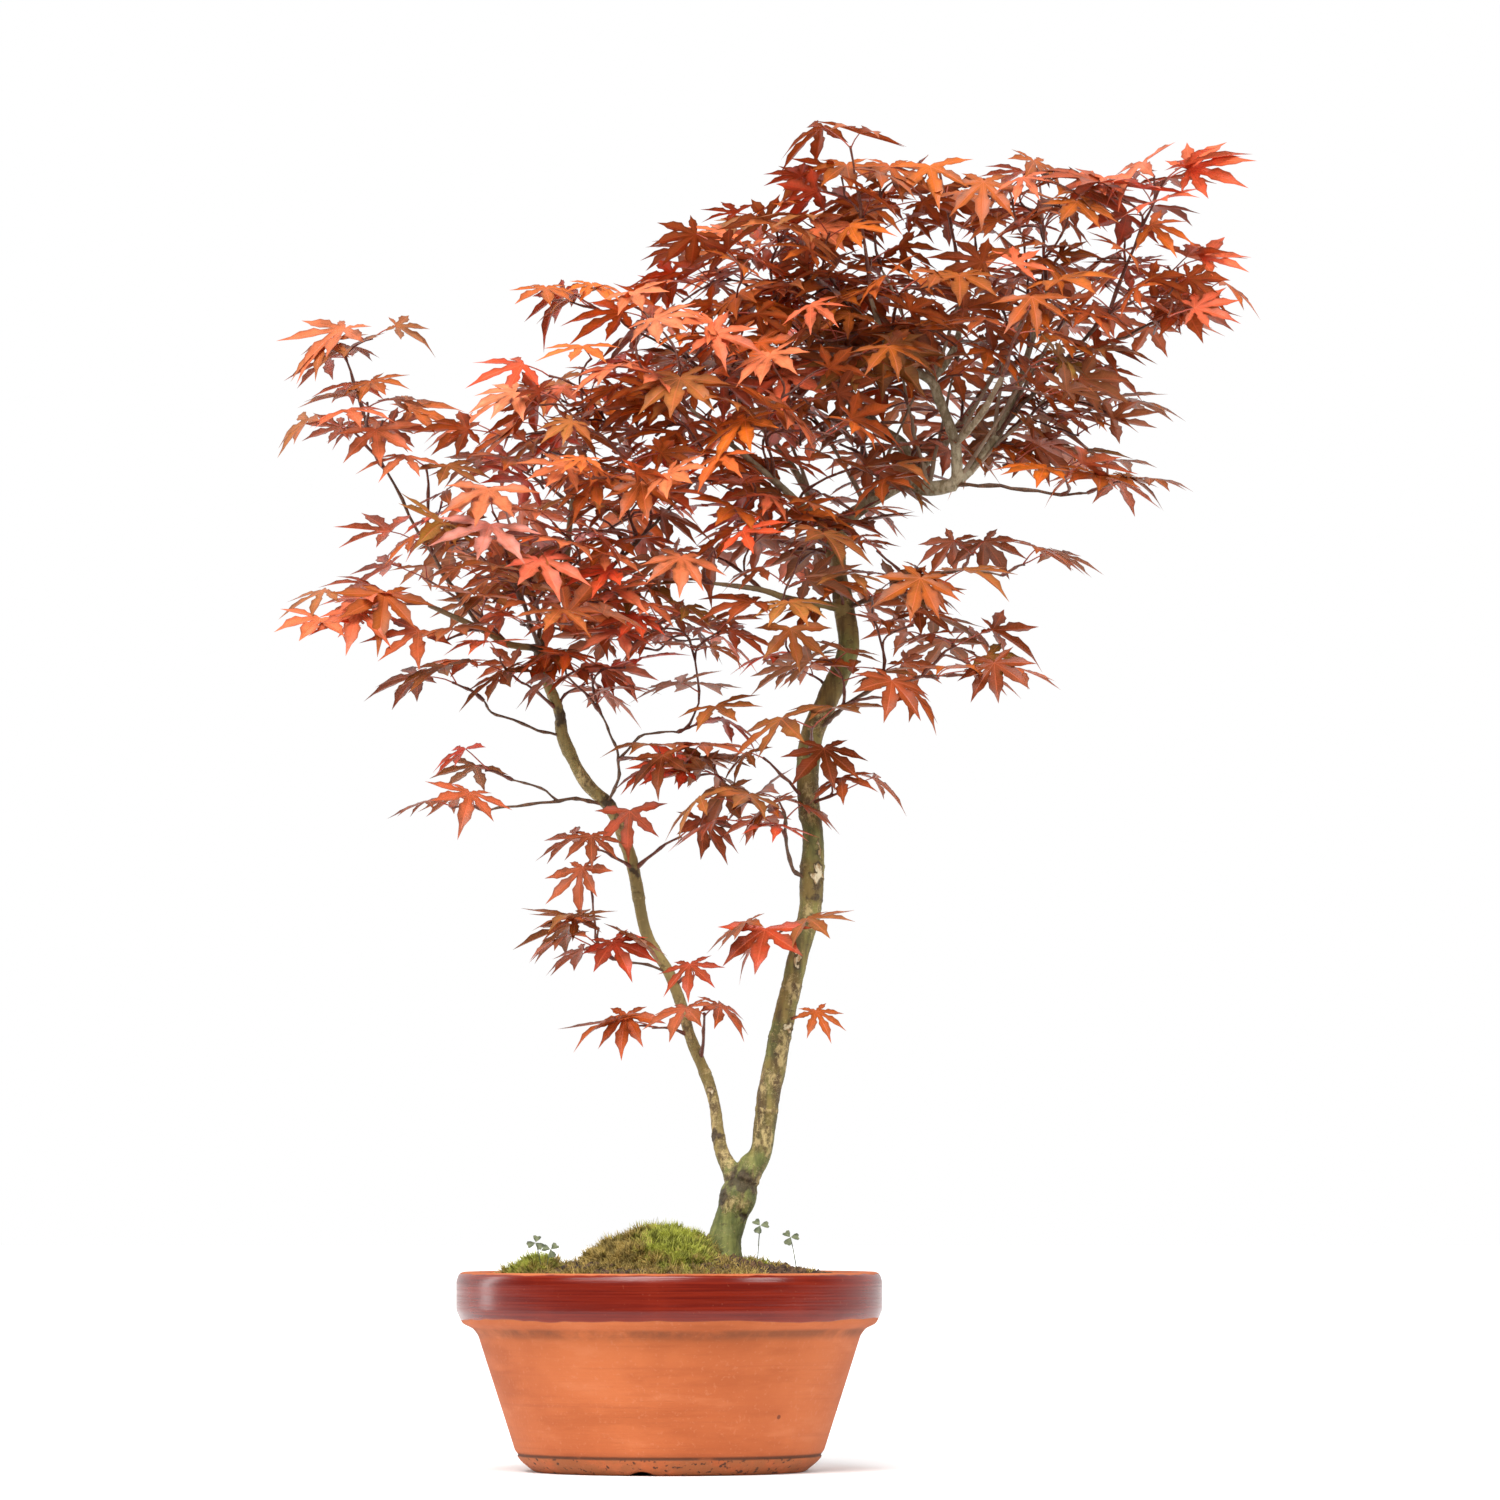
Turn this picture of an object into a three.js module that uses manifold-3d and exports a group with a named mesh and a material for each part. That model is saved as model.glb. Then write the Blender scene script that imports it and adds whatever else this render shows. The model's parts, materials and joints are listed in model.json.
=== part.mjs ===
// A red Japanese maple trained as a twin-trunk bonsai, in a round terracotta pot with a glazed rim.
// Millimetres, +Z up, and the tree's front faces -Y. Everything is built about the pot's axis, with the
// ground at z = 0, and the finished group is then moved so that the origin is the middle of its box.
// The trunk and its limbs are one body of wood. Each leafy stem on them is another: a thin branch with
// the leaves that it carries, which starts a hair's breadth off the wood that it grows from.
import * as THREE from "three";
import { mergeVertices } from "three/addons/utils/BufferGeometryUtils.js";
import Module from "manifold-3d";

const wasm = await Module();
wasm.setup();

// ---------- driving dimensions ----------
const CLEARANCE = 0.3; // between pieces that touch
const SIDES = 32; // round the pot and its soil

const POT = {
  height: 119,
  rimRadius: 127,
  rimInside: 116,
  bandFoot: 85, // where the glazed band stands out from the wall
  shoulderRadius: 114,
  shoulderInside: 105,
  footRadius: 91,
  footInside: 86,
  footHeight: 10,
  standingRadius: 81, // the ring that the pot stands on
  ringInside: 73,
  floor: 12,
  underside: 4,
  holeRadius: 12,
};
const NOTCH = { count: 3, first: -101, width: 16, height: 2.4, length: 24 }; // first: degrees from +X
const NET = { size: 34, thickness: 1.2, holes: 3, pitch: 9, hole: 6 }; // over the drain hole

const SOIL = { edge: 112, rise: 15, hummock: 8, hummockX: -3, hummockSpread: 25 };
const MOSS = [
  { name: "moss_cushion", x: -10, y: -14, radiusX: 40, radiusY: 46, thickness: 9, bump: 1.3 },
  { name: "moss_tuft", x: -82, y: -22, radiusX: 15, radiusY: 18, thickness: 5, bump: 0.8 },
];
const MOSS_DEPTH = 6; // how far a moss cushion's blank reaches below the soil before it is cut to it

const LEAF = {
  thickness: 0.8,
  stalk: 0.9, // the stalk's width at the blade
  stalkFoot: 0.5, // and inside the shoot
  droop: 0.22, // how far the lobes' tips hang, as a share of the leaf's length
  pairSpacing: 21,
  tipLength: 1.6, // of the shoot beyond its last pair
  stagger: 1.4, // between the two leaves of a pair, along the shoot
  tries: 10,
  joint: 2, // cubic millimetres that two stalks may share inside their shoot
};
// Round one half of the leaf from its middle lobe: degrees from its axis, and the reach of a lobe's tip
// or of the notch after it, as a share of the leaf's length.
const LOBES = [
  [0, 1],
  [19, 0.36],
  [39, 0.94],
  [60, 0.31],
  [80, 0.74],
];
const BASAL_LOBE = [
  [101, 0.22],
  [126, 0.42],
];
const SEVEN_LOBED = 1.15; // a leafy stem of this size or more has leaves with the basal lobes too

const STEM = { base: 1.3, tip: 0.95, arch: 0.12, sides: 3, steps: 2 };

const SEEDLINGS = [
  { name: "seedling_left", x: -74, y: -38, stems: [[-5, 0, 17], [4, -3, 13]] },
  { name: "seedling_middle", x: 52, y: -14, stems: [[2, -2, 22]] },
  { name: "seedling_right", x: 77, y: -10, stems: [[-5, -2, 19]] },
];
const CLOVER = { stem: 0.5, rooted: 8, leaflet: 4.5, thickness: 0.7 };

// Each branch: the branch that it grows on, the number of that branch's point where it starts, and its
// own points as [x, y, z, radius]. A leafy branch is too thin to be a limb, and belongs to its leaves.
const BRANCHES = {
  trunk: {
    sides: 10,
    route: [
      [31, 0, 84, 8],
      [31, 0, 110, 12.5],
      [31.5, 0, 124, 12.2],
      [33, 0, 137, 10.4],
      [37, 0, 152, 9.5],
      [41, 0, 164, 11.4],
      [43, 0, 171, 9.5],
    ],
  },
  rightLeader: {
    on: "trunk",
    at: 5,
    sides: 8,
    route: [
      [48, -1, 180, 8.2],
      [54.8, -2, 191, 6.7],
      [58.8, -4, 221, 7],
      [64.2, -6, 250, 6.9],
      [68, -7, 268, 6.6],
      [73, -7, 290, 6.3],
      [77.8, -7, 312, 6.1],
      [83.4, -6, 331, 6.6],
      [85, -5, 354, 7.4],
      [85.8, -3, 381, 6.3],
      [83.4, 0, 396, 6.7],
      [82.8, 3, 424, 6.9],
      [86.4, 6, 443, 6.8],
      [94.8, 9, 462, 6.6],
      [106.8, 12, 491, 6.4],
      [104.8, 15, 516, 6.3],
      [102, 18, 540, 4.6],
      [103, 21, 564, 4.4],
      [118, 23, 581, 4.2],
      [141, 22, 594, 4.2],
    ],
  },
  leftLeader: {
    on: "trunk",
    at: 5,
    sides: 7,
    route: [
      [37.5, 1, 177, 5.6],
      [30.5, 4, 192, 4.1],
      [27, 8, 217, 3.5],
      [23, 11, 232, 3.6],
      [18, 14, 245, 3.5],
      [12, 17, 260, 3.6],
      [7, 19, 278, 3.5],
      [-1, 20, 298, 3.5],
      [-13.8, 22, 320, 3.5],
      [-18, 22, 337, 3.6],
      [-22, 22, 359, 4],
      [-30.6, 24, 387, 3.9],
      [-37.8, 26, 400, 4.3],
      [-51.6, 28, 413.6, 4.1],
      [-64.8, 26, 440, 4],
      [-67, 24, 455, 3.4],
      [-76.8, 22, 480.6, 3.6],
      [-79.2, 21, 494, 3.3],
    ],
  },
  // limbs of the right leader, from the lowest up
  lowRightLimb: {
    on: "rightLeader",
    at: 13,
    leafy: true,
    route: [[97, 0, 450, 2.1], [106, -6, 458, 1.8], [122, -14, 467, 1.5]],
  },
  middleLimb: {
    on: "rightLeader",
    at: 16,
    route: [[91.8, 4, 519, 2.6], [73, -10, 520.5, 2.3], [54, -24, 525.6, 1.9], [26, -40, 528, 1.3]],
  },
  sideLimb: { on: "rightLeader", at: 16, leafy: true, route: [[124, 4, 524, 2.2], [150, -8, 534, 1.6]] },
  greyLimb: {
    on: "rightLeader",
    at: 17,
    route: [
      [95, 30, 556, 3.2],
      [87, 40, 582, 2.8],
      [70, 50, 612, 2.2],
      [48, 58, 640, 1.7],
      [30, 62, 664, 1.3],
    ],
  },
  frontLimb: {
    on: "rightLeader",
    at: 18,
    route: [[84, 2, 574, 2.7], [62, -20, 592, 2.2], [36, -38, 612, 1.7], [12, -50, 632, 1.3]],
  },
  backLimb: {
    on: "rightLeader",
    at: 19,
    leafy: true,
    route: [[120, 48, 604, 2.6], [112, 76, 632, 2.1], [98, 98, 664, 1.5]],
  },
  farLimb: {
    on: "rightLeader",
    at: 20,
    route: [[162, 52, 616, 2.6], [184, 80, 646, 2.1], [202, 98, 676, 1.5]],
  },
  archLimb: {
    on: "rightLeader",
    at: 20,
    route: [
      [142, 26, 614, 4],
      [129.4, 30, 626, 3.2],
      [112, 34, 640, 2.6],
      [96, 40, 668, 2.1],
      [82, 46, 700, 1.6],
    ],
  },
  elbow: { on: "rightLeader", at: 20, sides: 6, route: [[156, 16, 590, 4.8], [172, 11, 592, 4.2]] },
  crownLimb: {
    on: "elbow",
    at: 2,
    sides: 6,
    route: [
      [171.6, 6, 616, 3.4],
      [161.4, 0, 643, 3.2],
      [157, -4, 653, 3],
      [144.6, -10, 659, 2.4],
      [132, -18, 668, 2.1],
      [120, -32, 700, 1.5],
    ],
  },
  crownFork: { on: "crownLimb", at: 3, route: [[168, 4, 668, 2.4], [174, 10, 684, 2], [176, 18, 716, 1.5]] },
  topLimb: {
    on: "elbow",
    at: 2,
    sides: 6,
    route: [[194.4, 16, 618, 3], [209.8, 22, 651, 2.4], [217.2, 28, 676, 2.1], [228, 38, 712, 1.5]],
  },
  outerLimb: {
    on: "topLimb",
    at: 1,
    leafy: true,
    route: [[212, 10, 640, 2.1], [236, 2, 664, 1.8], [264, -8, 694, 1.4]],
  },
  frontRightLimb: { on: "crownLimb", at: 1, route: [[186, -28, 630, 2.2], [198, -58, 650, 1.6]] },
  // limbs of the left leader
  leftLimb: {
    on: "leftLeader",
    at: 18,
    route: [[-97.8, 18, 496, 2.3], [-112.4, 14, 504, 2.1], [-146, 8, 519, 1.5]],
  },
  upLimb: {
    on: "leftLeader",
    at: 18,
    route: [[-73, 26, 508, 2.6], [-64, 34, 542, 2.2], [-60, 40, 582, 1.8], [-52, 44, 614, 1.3]],
  },
  leftFrontLimb: { on: "leftLeader", at: 18, leafy: true, route: [[-86, 0, 512, 2.2], [-94, -30, 534, 1.7]] },
  leftBackLimb: { on: "leftLeader", at: 18, leafy: true, route: [[-82, 54, 524, 2.2], [-94, 90, 554, 1.6]] },
  innerLimb: {
    on: "upLimb",
    at: 1,
    leafy: true,
    route: [[-48, 14, 530, 1.9], [-20, 0, 556, 1.5], [4, -12, 580, 1.2]],
  },
  // leafy branches
  lowLeft: {
    on: "leftLeader",
    at: 13,
    leafy: true,
    route: [[-52, 22, 402, 1.7], [-66, 16, 401.6, 1.5], [-98, 8, 397, 1.2], [-112, 2, 395, 1]],
  },
  lowLeftTwig: { on: "lowLeft", at: 2, route: [[-82, 18, 410, 1.1], [-95, 22, 414, 0.9]] },
  insideLeft: {
    on: "leftLeader",
    at: 13,
    leafy: true,
    route: [[-32.5, 16, 411, 1.5], [-31.4, 8, 426, 1.3], [-36, 4, 441, 1.1], [-42, 2, 455, 0.9]],
  },
  insideTwig: { on: "insideLeft", at: 2, route: [[-14.7, 0, 440.4, 1.1], [4, -6, 441, 0.9]] },
  leftPocket: { on: "leftLeader", at: 8, leafy: true, route: [[-16, 14, 303, 1.2], [-34, 6, 305.4, 0.9]] },
  rightPocket: {
    on: "rightLeader",
    at: 9,
    leafy: true,
    route: [[74, -14, 358, 1.7], [69.6, -22, 376, 1.4], [68, -26, 391, 1.2], [54, -30, 396.5, 0.9]],
  },
  leftBranch: {
    on: "leftLeader",
    at: 15,
    leafy: true,
    route: [[-80, 18, 444, 1.3], [-104, 8, 453, 1.1], [-112, 2, 461, 0.9]],
  },
  lowRight: { on: "lowRightLimb", at: 3, route: [[150, -24, 473, 1.2], [165, -30, 473, 0.9]] },
  sideBranch: { on: "sideLimb", at: 2, route: [[176, -18, 538, 1.3], [198, -26, 534, 0.9]] },
  rightBranch: {
    on: "elbow",
    at: 2,
    leafy: true,
    route: [[198, -4, 589, 1.8], [234, -16, 583, 1.4], [250, -20, 584, 1]],
  },
  tallLeft: {
    on: "leftLimb",
    at: 2,
    leafy: true,
    route: [[-130, 16, 528, 1.8], [-147, 14, 556, 1.5], [-171, 8, 600, 1.2], [-184, 6, 632, 0.9]],
  },
  outerBranch: { on: "outerLimb", at: 2, route: [[268, 16, 680, 1.4], [300, 26, 694, 1]] },
  crossBranch: { on: "greyLimb", at: 4, leafy: true, route: [[14, 40, 668, 1.3], [-24, 26, 688, 1]] },
};

// Each leafy shoot: the branch that it grows on, the number of the point there, where it ends, how many
// leaves it carries, how large they are, and how many degrees they rise above the usual hang.
const SHOOTS = [
  { on: "leftLeader", at: 6, tip: [-10, 4, 265], leaves: 1, size: 1.15 },
  { on: "leftLeader", at: 5, tip: [21, -4, 273], leaves: 2, size: 0.9 },
  { on: "rightLeader", at: 5, tip: [80, -22, 270], leaves: 1, size: 0.75 },
  { on: "leftPocket", at: 2, tip: [-46, -2, 311], leaves: 3, size: 0.95 },
  { on: "rightLeader", at: 7, tip: [60, -28, 317], leaves: 3, size: 1 },
  { on: "leftLeader", at: 11, tip: [6, 8, 380], leaves: 1, size: 1 },
  { on: "leftLeader", at: 11, tip: [-44, 4, 371], leaves: 2, size: 0.95 },
  { on: "rightPocket", at: 4, tip: [38, -38, 397], leaves: 3, size: 1 },
  { on: "lowLeft", at: 4, tip: [-130, -6, 396], leaves: 3, size: 0.9 },
  { on: "lowLeftTwig", at: 2, tip: [-112, 26, 420], leaves: 2, size: 0.85 },
  { on: "insideLeft", at: 2, tip: [-4, -22, 420], leaves: 2, size: 1 },
  { on: "insideTwig", at: 2, tip: [16, -10, 446], leaves: 2, size: 1 },
  { on: "insideLeft", at: 4, tip: [-54, 0, 467], leaves: 1, size: 0.95 },
  { on: "rightLeader", at: 11, tip: [56, -16, 425], leaves: 1, size: 0.85 },
  { on: "rightLeader", at: 11, tip: [104, -22, 404], leaves: 2, size: 0.95 },
  { on: "rightLeader", at: 12, tip: [86, -36, 442], leaves: 2, size: 1.25 },
  { on: "leftBranch", at: 3, tip: [-130, -6, 471], leaves: 2, size: 1.1 },
  { on: "leftLeader", at: 16, tip: [-90, 4, 472], leaves: 1, size: 1 },
  { on: "lowRight", at: 2, tip: [188, -38, 474], leaves: 2, size: 1 },
  { on: "lowRight", at: 1, tip: [172, 4, 494], leaves: 2, size: 1 },
  { on: "lowRightLimb", at: 2, tip: [132, -42, 458], leaves: 2, size: 1 },
  { on: "sideBranch", at: 2, tip: [212, -30, 540], leaves: 2, size: 0.95 },
  { on: "sideBranch", at: 1, tip: [182, 20, 550], leaves: 2, size: 1 },
  { on: "sideLimb", at: 2, tip: [162, -46, 524], leaves: 2, size: 1 },
  { on: "middleLimb", at: 4, tip: [-14, -56, 528], leaves: 3, size: 1.1 },
  { on: "middleLimb", at: 3, tip: [26, 4, 548], leaves: 2, size: 1 },
  { on: "middleLimb", at: 2, tip: [62, -50, 508], leaves: 2, size: 1.1 },
  { on: "leftLimb", at: 3, tip: [-186, -2, 514], leaves: 3, size: 1.1 },
  { on: "leftLimb", at: 2, tip: [-134, -24, 494], leaves: 2, size: 1.1 },
  { on: "leftLimb", at: 1, tip: [-150, 56, 538], leaves: 2, size: 1 },
  { on: "tallLeft", at: 4, tip: [-196, 4, 668], leaves: 4, size: 1 },
  { on: "tallLeft", at: 3, tip: [-194, -16, 624], leaves: 2, size: 1 },
  { on: "tallLeft", at: 2, tip: [-146, -4, 602], leaves: 2, size: 0.95 },
  { on: "upLimb", at: 4, tip: [-54, 48, 650], leaves: 2, size: 1.1 },
  { on: "upLimb", at: 3, tip: [-96, 50, 606], leaves: 2, size: 1.1 },
  { on: "upLimb", at: 2, tip: [-26, 74, 578], leaves: 2, size: 1 },
  { on: "leftFrontLimb", at: 2, tip: [-104, -72, 568], leaves: 3, size: 1.1 },
  { on: "leftFrontLimb", at: 1, tip: [-54, -52, 540], leaves: 2, size: 1 },
  { on: "leftBackLimb", at: 2, tip: [-104, 132, 588], leaves: 2, size: 1 },
  { on: "leftBackLimb", at: 1, tip: [-132, 84, 560], leaves: 2, size: 1 },
  { on: "innerLimb", at: 3, tip: [26, -22, 600], leaves: 2, size: 1 },
  { on: "innerLimb", at: 2, tip: [-30, -40, 582], leaves: 2, size: 1.1 },
  { on: "greyLimb", at: 5, tip: [12, 68, 694], leaves: 2, size: 1 },
  { on: "greyLimb", at: 3, tip: [52, 92, 630], leaves: 2, size: 1 },
  { on: "crossBranch", at: 2, tip: [-50, 16, 700], leaves: 2, size: 1 },
  { on: "frontLimb", at: 4, tip: [-14, -64, 652], leaves: 3, size: 1.1 },
  { on: "frontLimb", at: 2, tip: [56, -62, 620], leaves: 2, size: 1.1 },
  { on: "backLimb", at: 3, tip: [76, 124, 696], leaves: 2, size: 1 },
  { on: "backLimb", at: 2, tip: [146, 108, 652], leaves: 2, size: 1 },
  { on: "farLimb", at: 3, tip: [220, 118, 704], leaves: 2, size: 1 },
  { on: "archLimb", at: 5, tip: [56, 54, 752], leaves: 2, size: 1 },
  { on: "archLimb", at: 3, tip: [70, 4, 690], leaves: 2, size: 1 },
  { on: "crownLimb", at: 6, tip: [108, -46, 790], leaves: 4, size: 1.1, rise: 14 },
  { on: "crownLimb", at: 5, tip: [136, -58, 700], leaves: 2, size: 1 },
  { on: "crownFork", at: 3, tip: [162, 14, 782], leaves: 3, size: 1 },
  { on: "topLimb", at: 4, tip: [224, 48, 784], leaves: 3, size: 1 },
  { on: "topLimb", at: 3, tip: [214, -20, 722], leaves: 2, size: 1 },
  { on: "frontRightLimb", at: 2, tip: [212, -100, 684], leaves: 3, size: 1 },
  { on: "outerLimb", at: 3, tip: [298, -22, 774], leaves: 3, size: 1.05, rise: 38 },
  { on: "outerBranch", at: 2, tip: [318, 28, 706], leaves: 3, size: 0.95 },
  { on: "rightBranch", at: 3, tip: [270, -24, 590], leaves: 3, size: 0.95 },
];

const COLOURS = {
  terracotta: { color: 0xd97a4e, roughness: 0.75, metalness: 0 },
  net: { color: 0x2f3a30, roughness: 0.6, metalness: 0 },
  soil: { color: 0x4a3220, roughness: 1, metalness: 0 },
  moss: { color: 0x7d9a35, roughness: 1, metalness: 0 },
  bark: { color: 0x7f7d4a, roughness: 0.7, metalness: 0 },
  seedling: { color: 0x6e7d4d, roughness: 0.8, metalness: 0 },
  leaves: { color: 0xb3401f, roughness: 0.6, metalness: 0 },
};

// ---------- solids ----------
const vector = (at) => new THREE.Vector3(at[0], at[1], at[2]);
const radians = THREE.MathUtils.degToRad;

// A closed body from its corners and its triangles, each triangle three corners' numbers.
function bodyOf(corners, triangles) {
  const places = corners.flatMap((corner) => [corner.x, corner.y, corner.z]);
  const geometry = new THREE.BufferGeometry();
  geometry.setAttribute("position", new THREE.Float32BufferAttribute(places, 3));
  geometry.setIndex(triangles.flat());
  return geometry;
}

function solidOf(geometry) {
  const bare = geometry.clone();
  bare.deleteAttribute("normal");
  bare.deleteAttribute("uv");
  const merged = mergeVertices(bare);
  const vertProperties = Float32Array.from(merged.attributes.position.array);
  const triVerts = Uint32Array.from(merged.index.array);
  return new wasm.Manifold(new wasm.Mesh({ numProp: 3, vertProperties, triVerts }));
}

function geometryOf(solid) {
  const { vertProperties, triVerts } = solid.getMesh();
  const geometry = new THREE.BufferGeometry();
  geometry.setAttribute("position", new THREE.BufferAttribute(vertProperties, 3));
  geometry.setIndex(new THREE.BufferAttribute(triVerts, 1));
  const faceted = geometry.toNonIndexed();
  faceted.computeVertexNormals();
  return faceted;
}

const joined = (solids) => solids.reduce((whole, solid) => whole.add(solid));
const largest = (solid) => solid.decompose().sort((a, b) => b.volume() - a.volume())[0];

// Rings of corners, each with the same number round it, closed over at both ends by a middle corner.
function stack(rings, first, last) {
  const around = rings[0].length;
  const corners = [...rings.flat(), first, last];
  const bottom = corners.length - 2;
  const top = corners.length - 1;
  const triangles = [];
  for (let side = 0; side < around; side += 1) {
    const next = (side + 1) % around;
    triangles.push([bottom, next, side]);
    for (let ring = 0; ring < rings.length - 1; ring += 1) {
      const low = ring * around;
      const high = low + around;
      triangles.push([low + side, low + next, high + next], [low + side, high + next, high + side]);
    }
    const end = (rings.length - 1) * around;
    triangles.push([top, end + side, end + next]);
  }
  return bodyOf(corners, triangles);
}

// A round rod through its stations, each [x, y, z, radius], with flat ends.
function rod(stations, sides, grown = 0) {
  const centres = stations.map(vector);
  const last = centres.length - 1;
  const headings = centres.map((centre, index) =>
    centres[Math.min(index + 1, last)].clone().sub(centres[Math.max(index - 1, 0)]).normalize(),
  );
  centres[0].addScaledVector(headings[0], -grown);
  centres[last].addScaledVector(headings[last], grown);
  const across = new THREE.Vector3(0, 1, 0);
  if (Math.abs(headings[0].y) > 0.9) across.set(1, 0, 0);
  const rings = centres.map((centre, index) => {
    const heading = headings[index];
    across.addScaledVector(heading, -across.dot(heading)).normalize();
    const beside = heading.clone().cross(across);
    const radius = stations[index][3] + grown;
    return Array.from({ length: sides }, (_, side) => {
      const turn = (2 * Math.PI * side) / sides;
      const corner = centre.clone().addScaledVector(across, radius * Math.cos(turn));
      return corner.addScaledVector(beside, radius * Math.sin(turn));
    });
  });
  return stack(rings, centres[0], centres[last]);
}

// ---------- the pot, what drains it and what fills it ----------
function potProfile() {
  const { height, rimRadius, rimInside, bandFoot, floor, underside, holeRadius } = POT;
  return [
    [holeRadius, underside],
    [POT.ringInside - 1, underside],
    [POT.ringInside, 0],
    [POT.standingRadius, 0],
    [84, 2.4],
    [88.4, 6],
    [POT.footRadius, POT.footHeight - 0.8],
    [POT.footRadius - 0.9, POT.footHeight], // the line turned above the foot
    [92.2, 12.6],
    [POT.shoulderRadius, bandFoot - 4],
    [117, bandFoot],
    [123.3, bandFoot + 3],
    [rimRadius, bandFoot + 12],
    [rimRadius, height - 6],
    [rimRadius - 1.4, height - 1.6],
    [rimRadius - 4.5, height],
    [rimInside + 0.5, height - 2.4],
    [POT.shoulderInside + 3, bandFoot + 6],
    [POT.shoulderInside, bandFoot - 6],
    [POT.footInside, floor + 5],
    [POT.footInside - 6, floor],
    [holeRadius, floor],
  ].map(([radius, level]) => new THREE.Vector2(radius, level));
}

// The notches are low arches through the ring that the pot stands on, so that water can run away.
function notch(index) {
  const radius = (NOTCH.width ** 2 / 4 + NOTCH.height ** 2) / (2 * NOTCH.height);
  const arch = new THREE.CylinderGeometry(radius, radius, NOTCH.length, 40);
  arch.rotateZ(Math.PI / 2);
  arch.translate(POT.standingRadius, 0, NOTCH.height - radius);
  arch.rotateZ(radians(NOTCH.first + (360 / NOTCH.count) * index));
  return solidOf(arch);
}

function pot() {
  const profile = potProfile();
  const turned = new THREE.LatheGeometry([...profile, profile[0]], SIDES);
  turned.rotateX(Math.PI / 2);
  let solid = solidOf(turned);
  for (let index = 0; index < NOTCH.count; index += 1) solid = solid.subtract(notch(index));
  return solid;
}

// A square of plastic net over the drain hole, which keeps the soil in.
function drainNet() {
  const level = POT.floor + CLEARANCE + NET.thickness / 2;
  const sheet = new THREE.BoxGeometry(NET.size, NET.size, NET.thickness);
  sheet.translate(0, 0, level);
  let net = solidOf(sheet);
  const middle = (NET.holes - 1) / 2;
  for (let row = 0; row < NET.holes; row += 1) {
    for (let column = 0; column < NET.holes; column += 1) {
      const hole = new THREE.BoxGeometry(NET.hole, NET.hole, NET.thickness * 3);
      hole.translate((column - middle) * NET.pitch, (row - middle) * NET.pitch, level);
      net = net.subtract(solidOf(hole));
    }
  }
  return net;
}

// The soil's surface: highest in the middle, with a hummock left of the trunk.
function soilLevel(x, y) {
  const { edge, rise, hummock, hummockX, hummockSpread } = SOIL;
  const share = Math.min(Math.hypot(x, y) / POT.rimInside, 1);
  const away = ((x - hummockX) ** 2 + y ** 2) / (2 * hummockSpread ** 2);
  return edge + rise * (1 - share ** 2) + hummock * Math.exp(-away);
}

function ringAt(radius, level) {
  return Array.from({ length: SIDES }, (_, side) => {
    const turn = (2 * Math.PI * side) / SIDES;
    const x = radius * Math.cos(turn);
    const y = radius * Math.sin(turn);
    return new THREE.Vector3(x, y, typeof level === "number" ? level : level(x, y));
  });
}

// The soil with no holes yet for what stands in it.
function soilFill() {
  const low = POT.floor + CLEARANCE;
  const rings = [
    ringAt(POT.footInside - 6 - CLEARANCE, low),
    ringAt(POT.footInside - CLEARANCE - 0.4, POT.floor + 5),
    ringAt(POT.shoulderInside - CLEARANCE - 0.2, POT.bandFoot - 6),
    ringAt(POT.rimInside - 3, soilLevel),
    ringAt(88, soilLevel),
    ringAt(54, soilLevel),
    ringAt(24, soilLevel),
  ];
  const bottom = new THREE.Vector3(0, 0, low);
  const top = new THREE.Vector3(0, 0, soilLevel(0, 0));
  const recess = new THREE.BoxGeometry(NET.size + 1, NET.size + 1, NET.thickness * 2 + 4 * CLEARANCE);
  recess.translate(0, 0, POT.floor);
  return solidOf(stack(rings, bottom, top)).subtract(solidOf(recess));
}

// A low bumpy cushion, cut underneath to the soil that it grows on.
function mossCushion(moss, fill, standing) {
  const around = 12;
  const shares = [1, 0.9, 0.66, 0.36];
  const place = (share, side, lift) => {
    const turn = (2 * Math.PI * side) / around;
    const edge = 1 + 0.09 * Math.sin(3 * turn + moss.x) + 0.06 * Math.sin(5 * turn);
    const x = moss.x + moss.radiusX * share * edge * Math.cos(turn);
    const y = moss.y + moss.radiusY * share * edge * Math.sin(turn);
    return new THREE.Vector3(x, y, soilLevel(x, y) + lift);
  };
  const bumps = (share, side) => moss.bump * Math.sin(side * 2.4 + share * 21);
  const crown = (share, side) => moss.thickness * Math.sqrt(1 - share ** 2) + bumps(share, side);
  const ring = (share, lift) => Array.from({ length: around }, (_, side) => place(share, side, lift(side)));
  const tops = shares.map((share) => ring(share, (side) => crown(share, side)));
  const rings = [ring(1, () => -MOSS_DEPTH), ...tops];
  const blank = stack(rings, place(0, 0, -MOSS_DEPTH), place(0, 0, moss.thickness));
  return largest(solidOf(blank).subtract(fill.translate([0, 0, CLEARANCE])).subtract(standing));
}

// ---------- clover seedlings ----------
// Three heart-shaped leaflets on top of a thin stem, as one thin blade.
function trefoil(top, turned) {
  const lift = new THREE.Vector3(0, 0, CLOVER.thickness / 2);
  const corners = [];
  for (let leaflet = 0; leaflet < 3; leaflet += 1) {
    for (const [turn, reach] of [[-60, 0.12], [-28, 0.95], [28, 0.95]]) {
      const angle = radians(turned + 120 * leaflet + turn);
      const radius = CLOVER.leaflet * reach;
      corners.push(new THREE.Vector3(radius * Math.cos(angle), radius * Math.sin(angle), -0.25 * radius));
    }
  }
  const upper = corners.map((corner) => corner.clone().add(top).add(lift));
  const lower = corners.map((corner) => corner.clone().add(top).sub(lift));
  return solidOf(stack([lower, upper], top.clone().sub(lift), top.clone().add(lift)));
}

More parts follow.
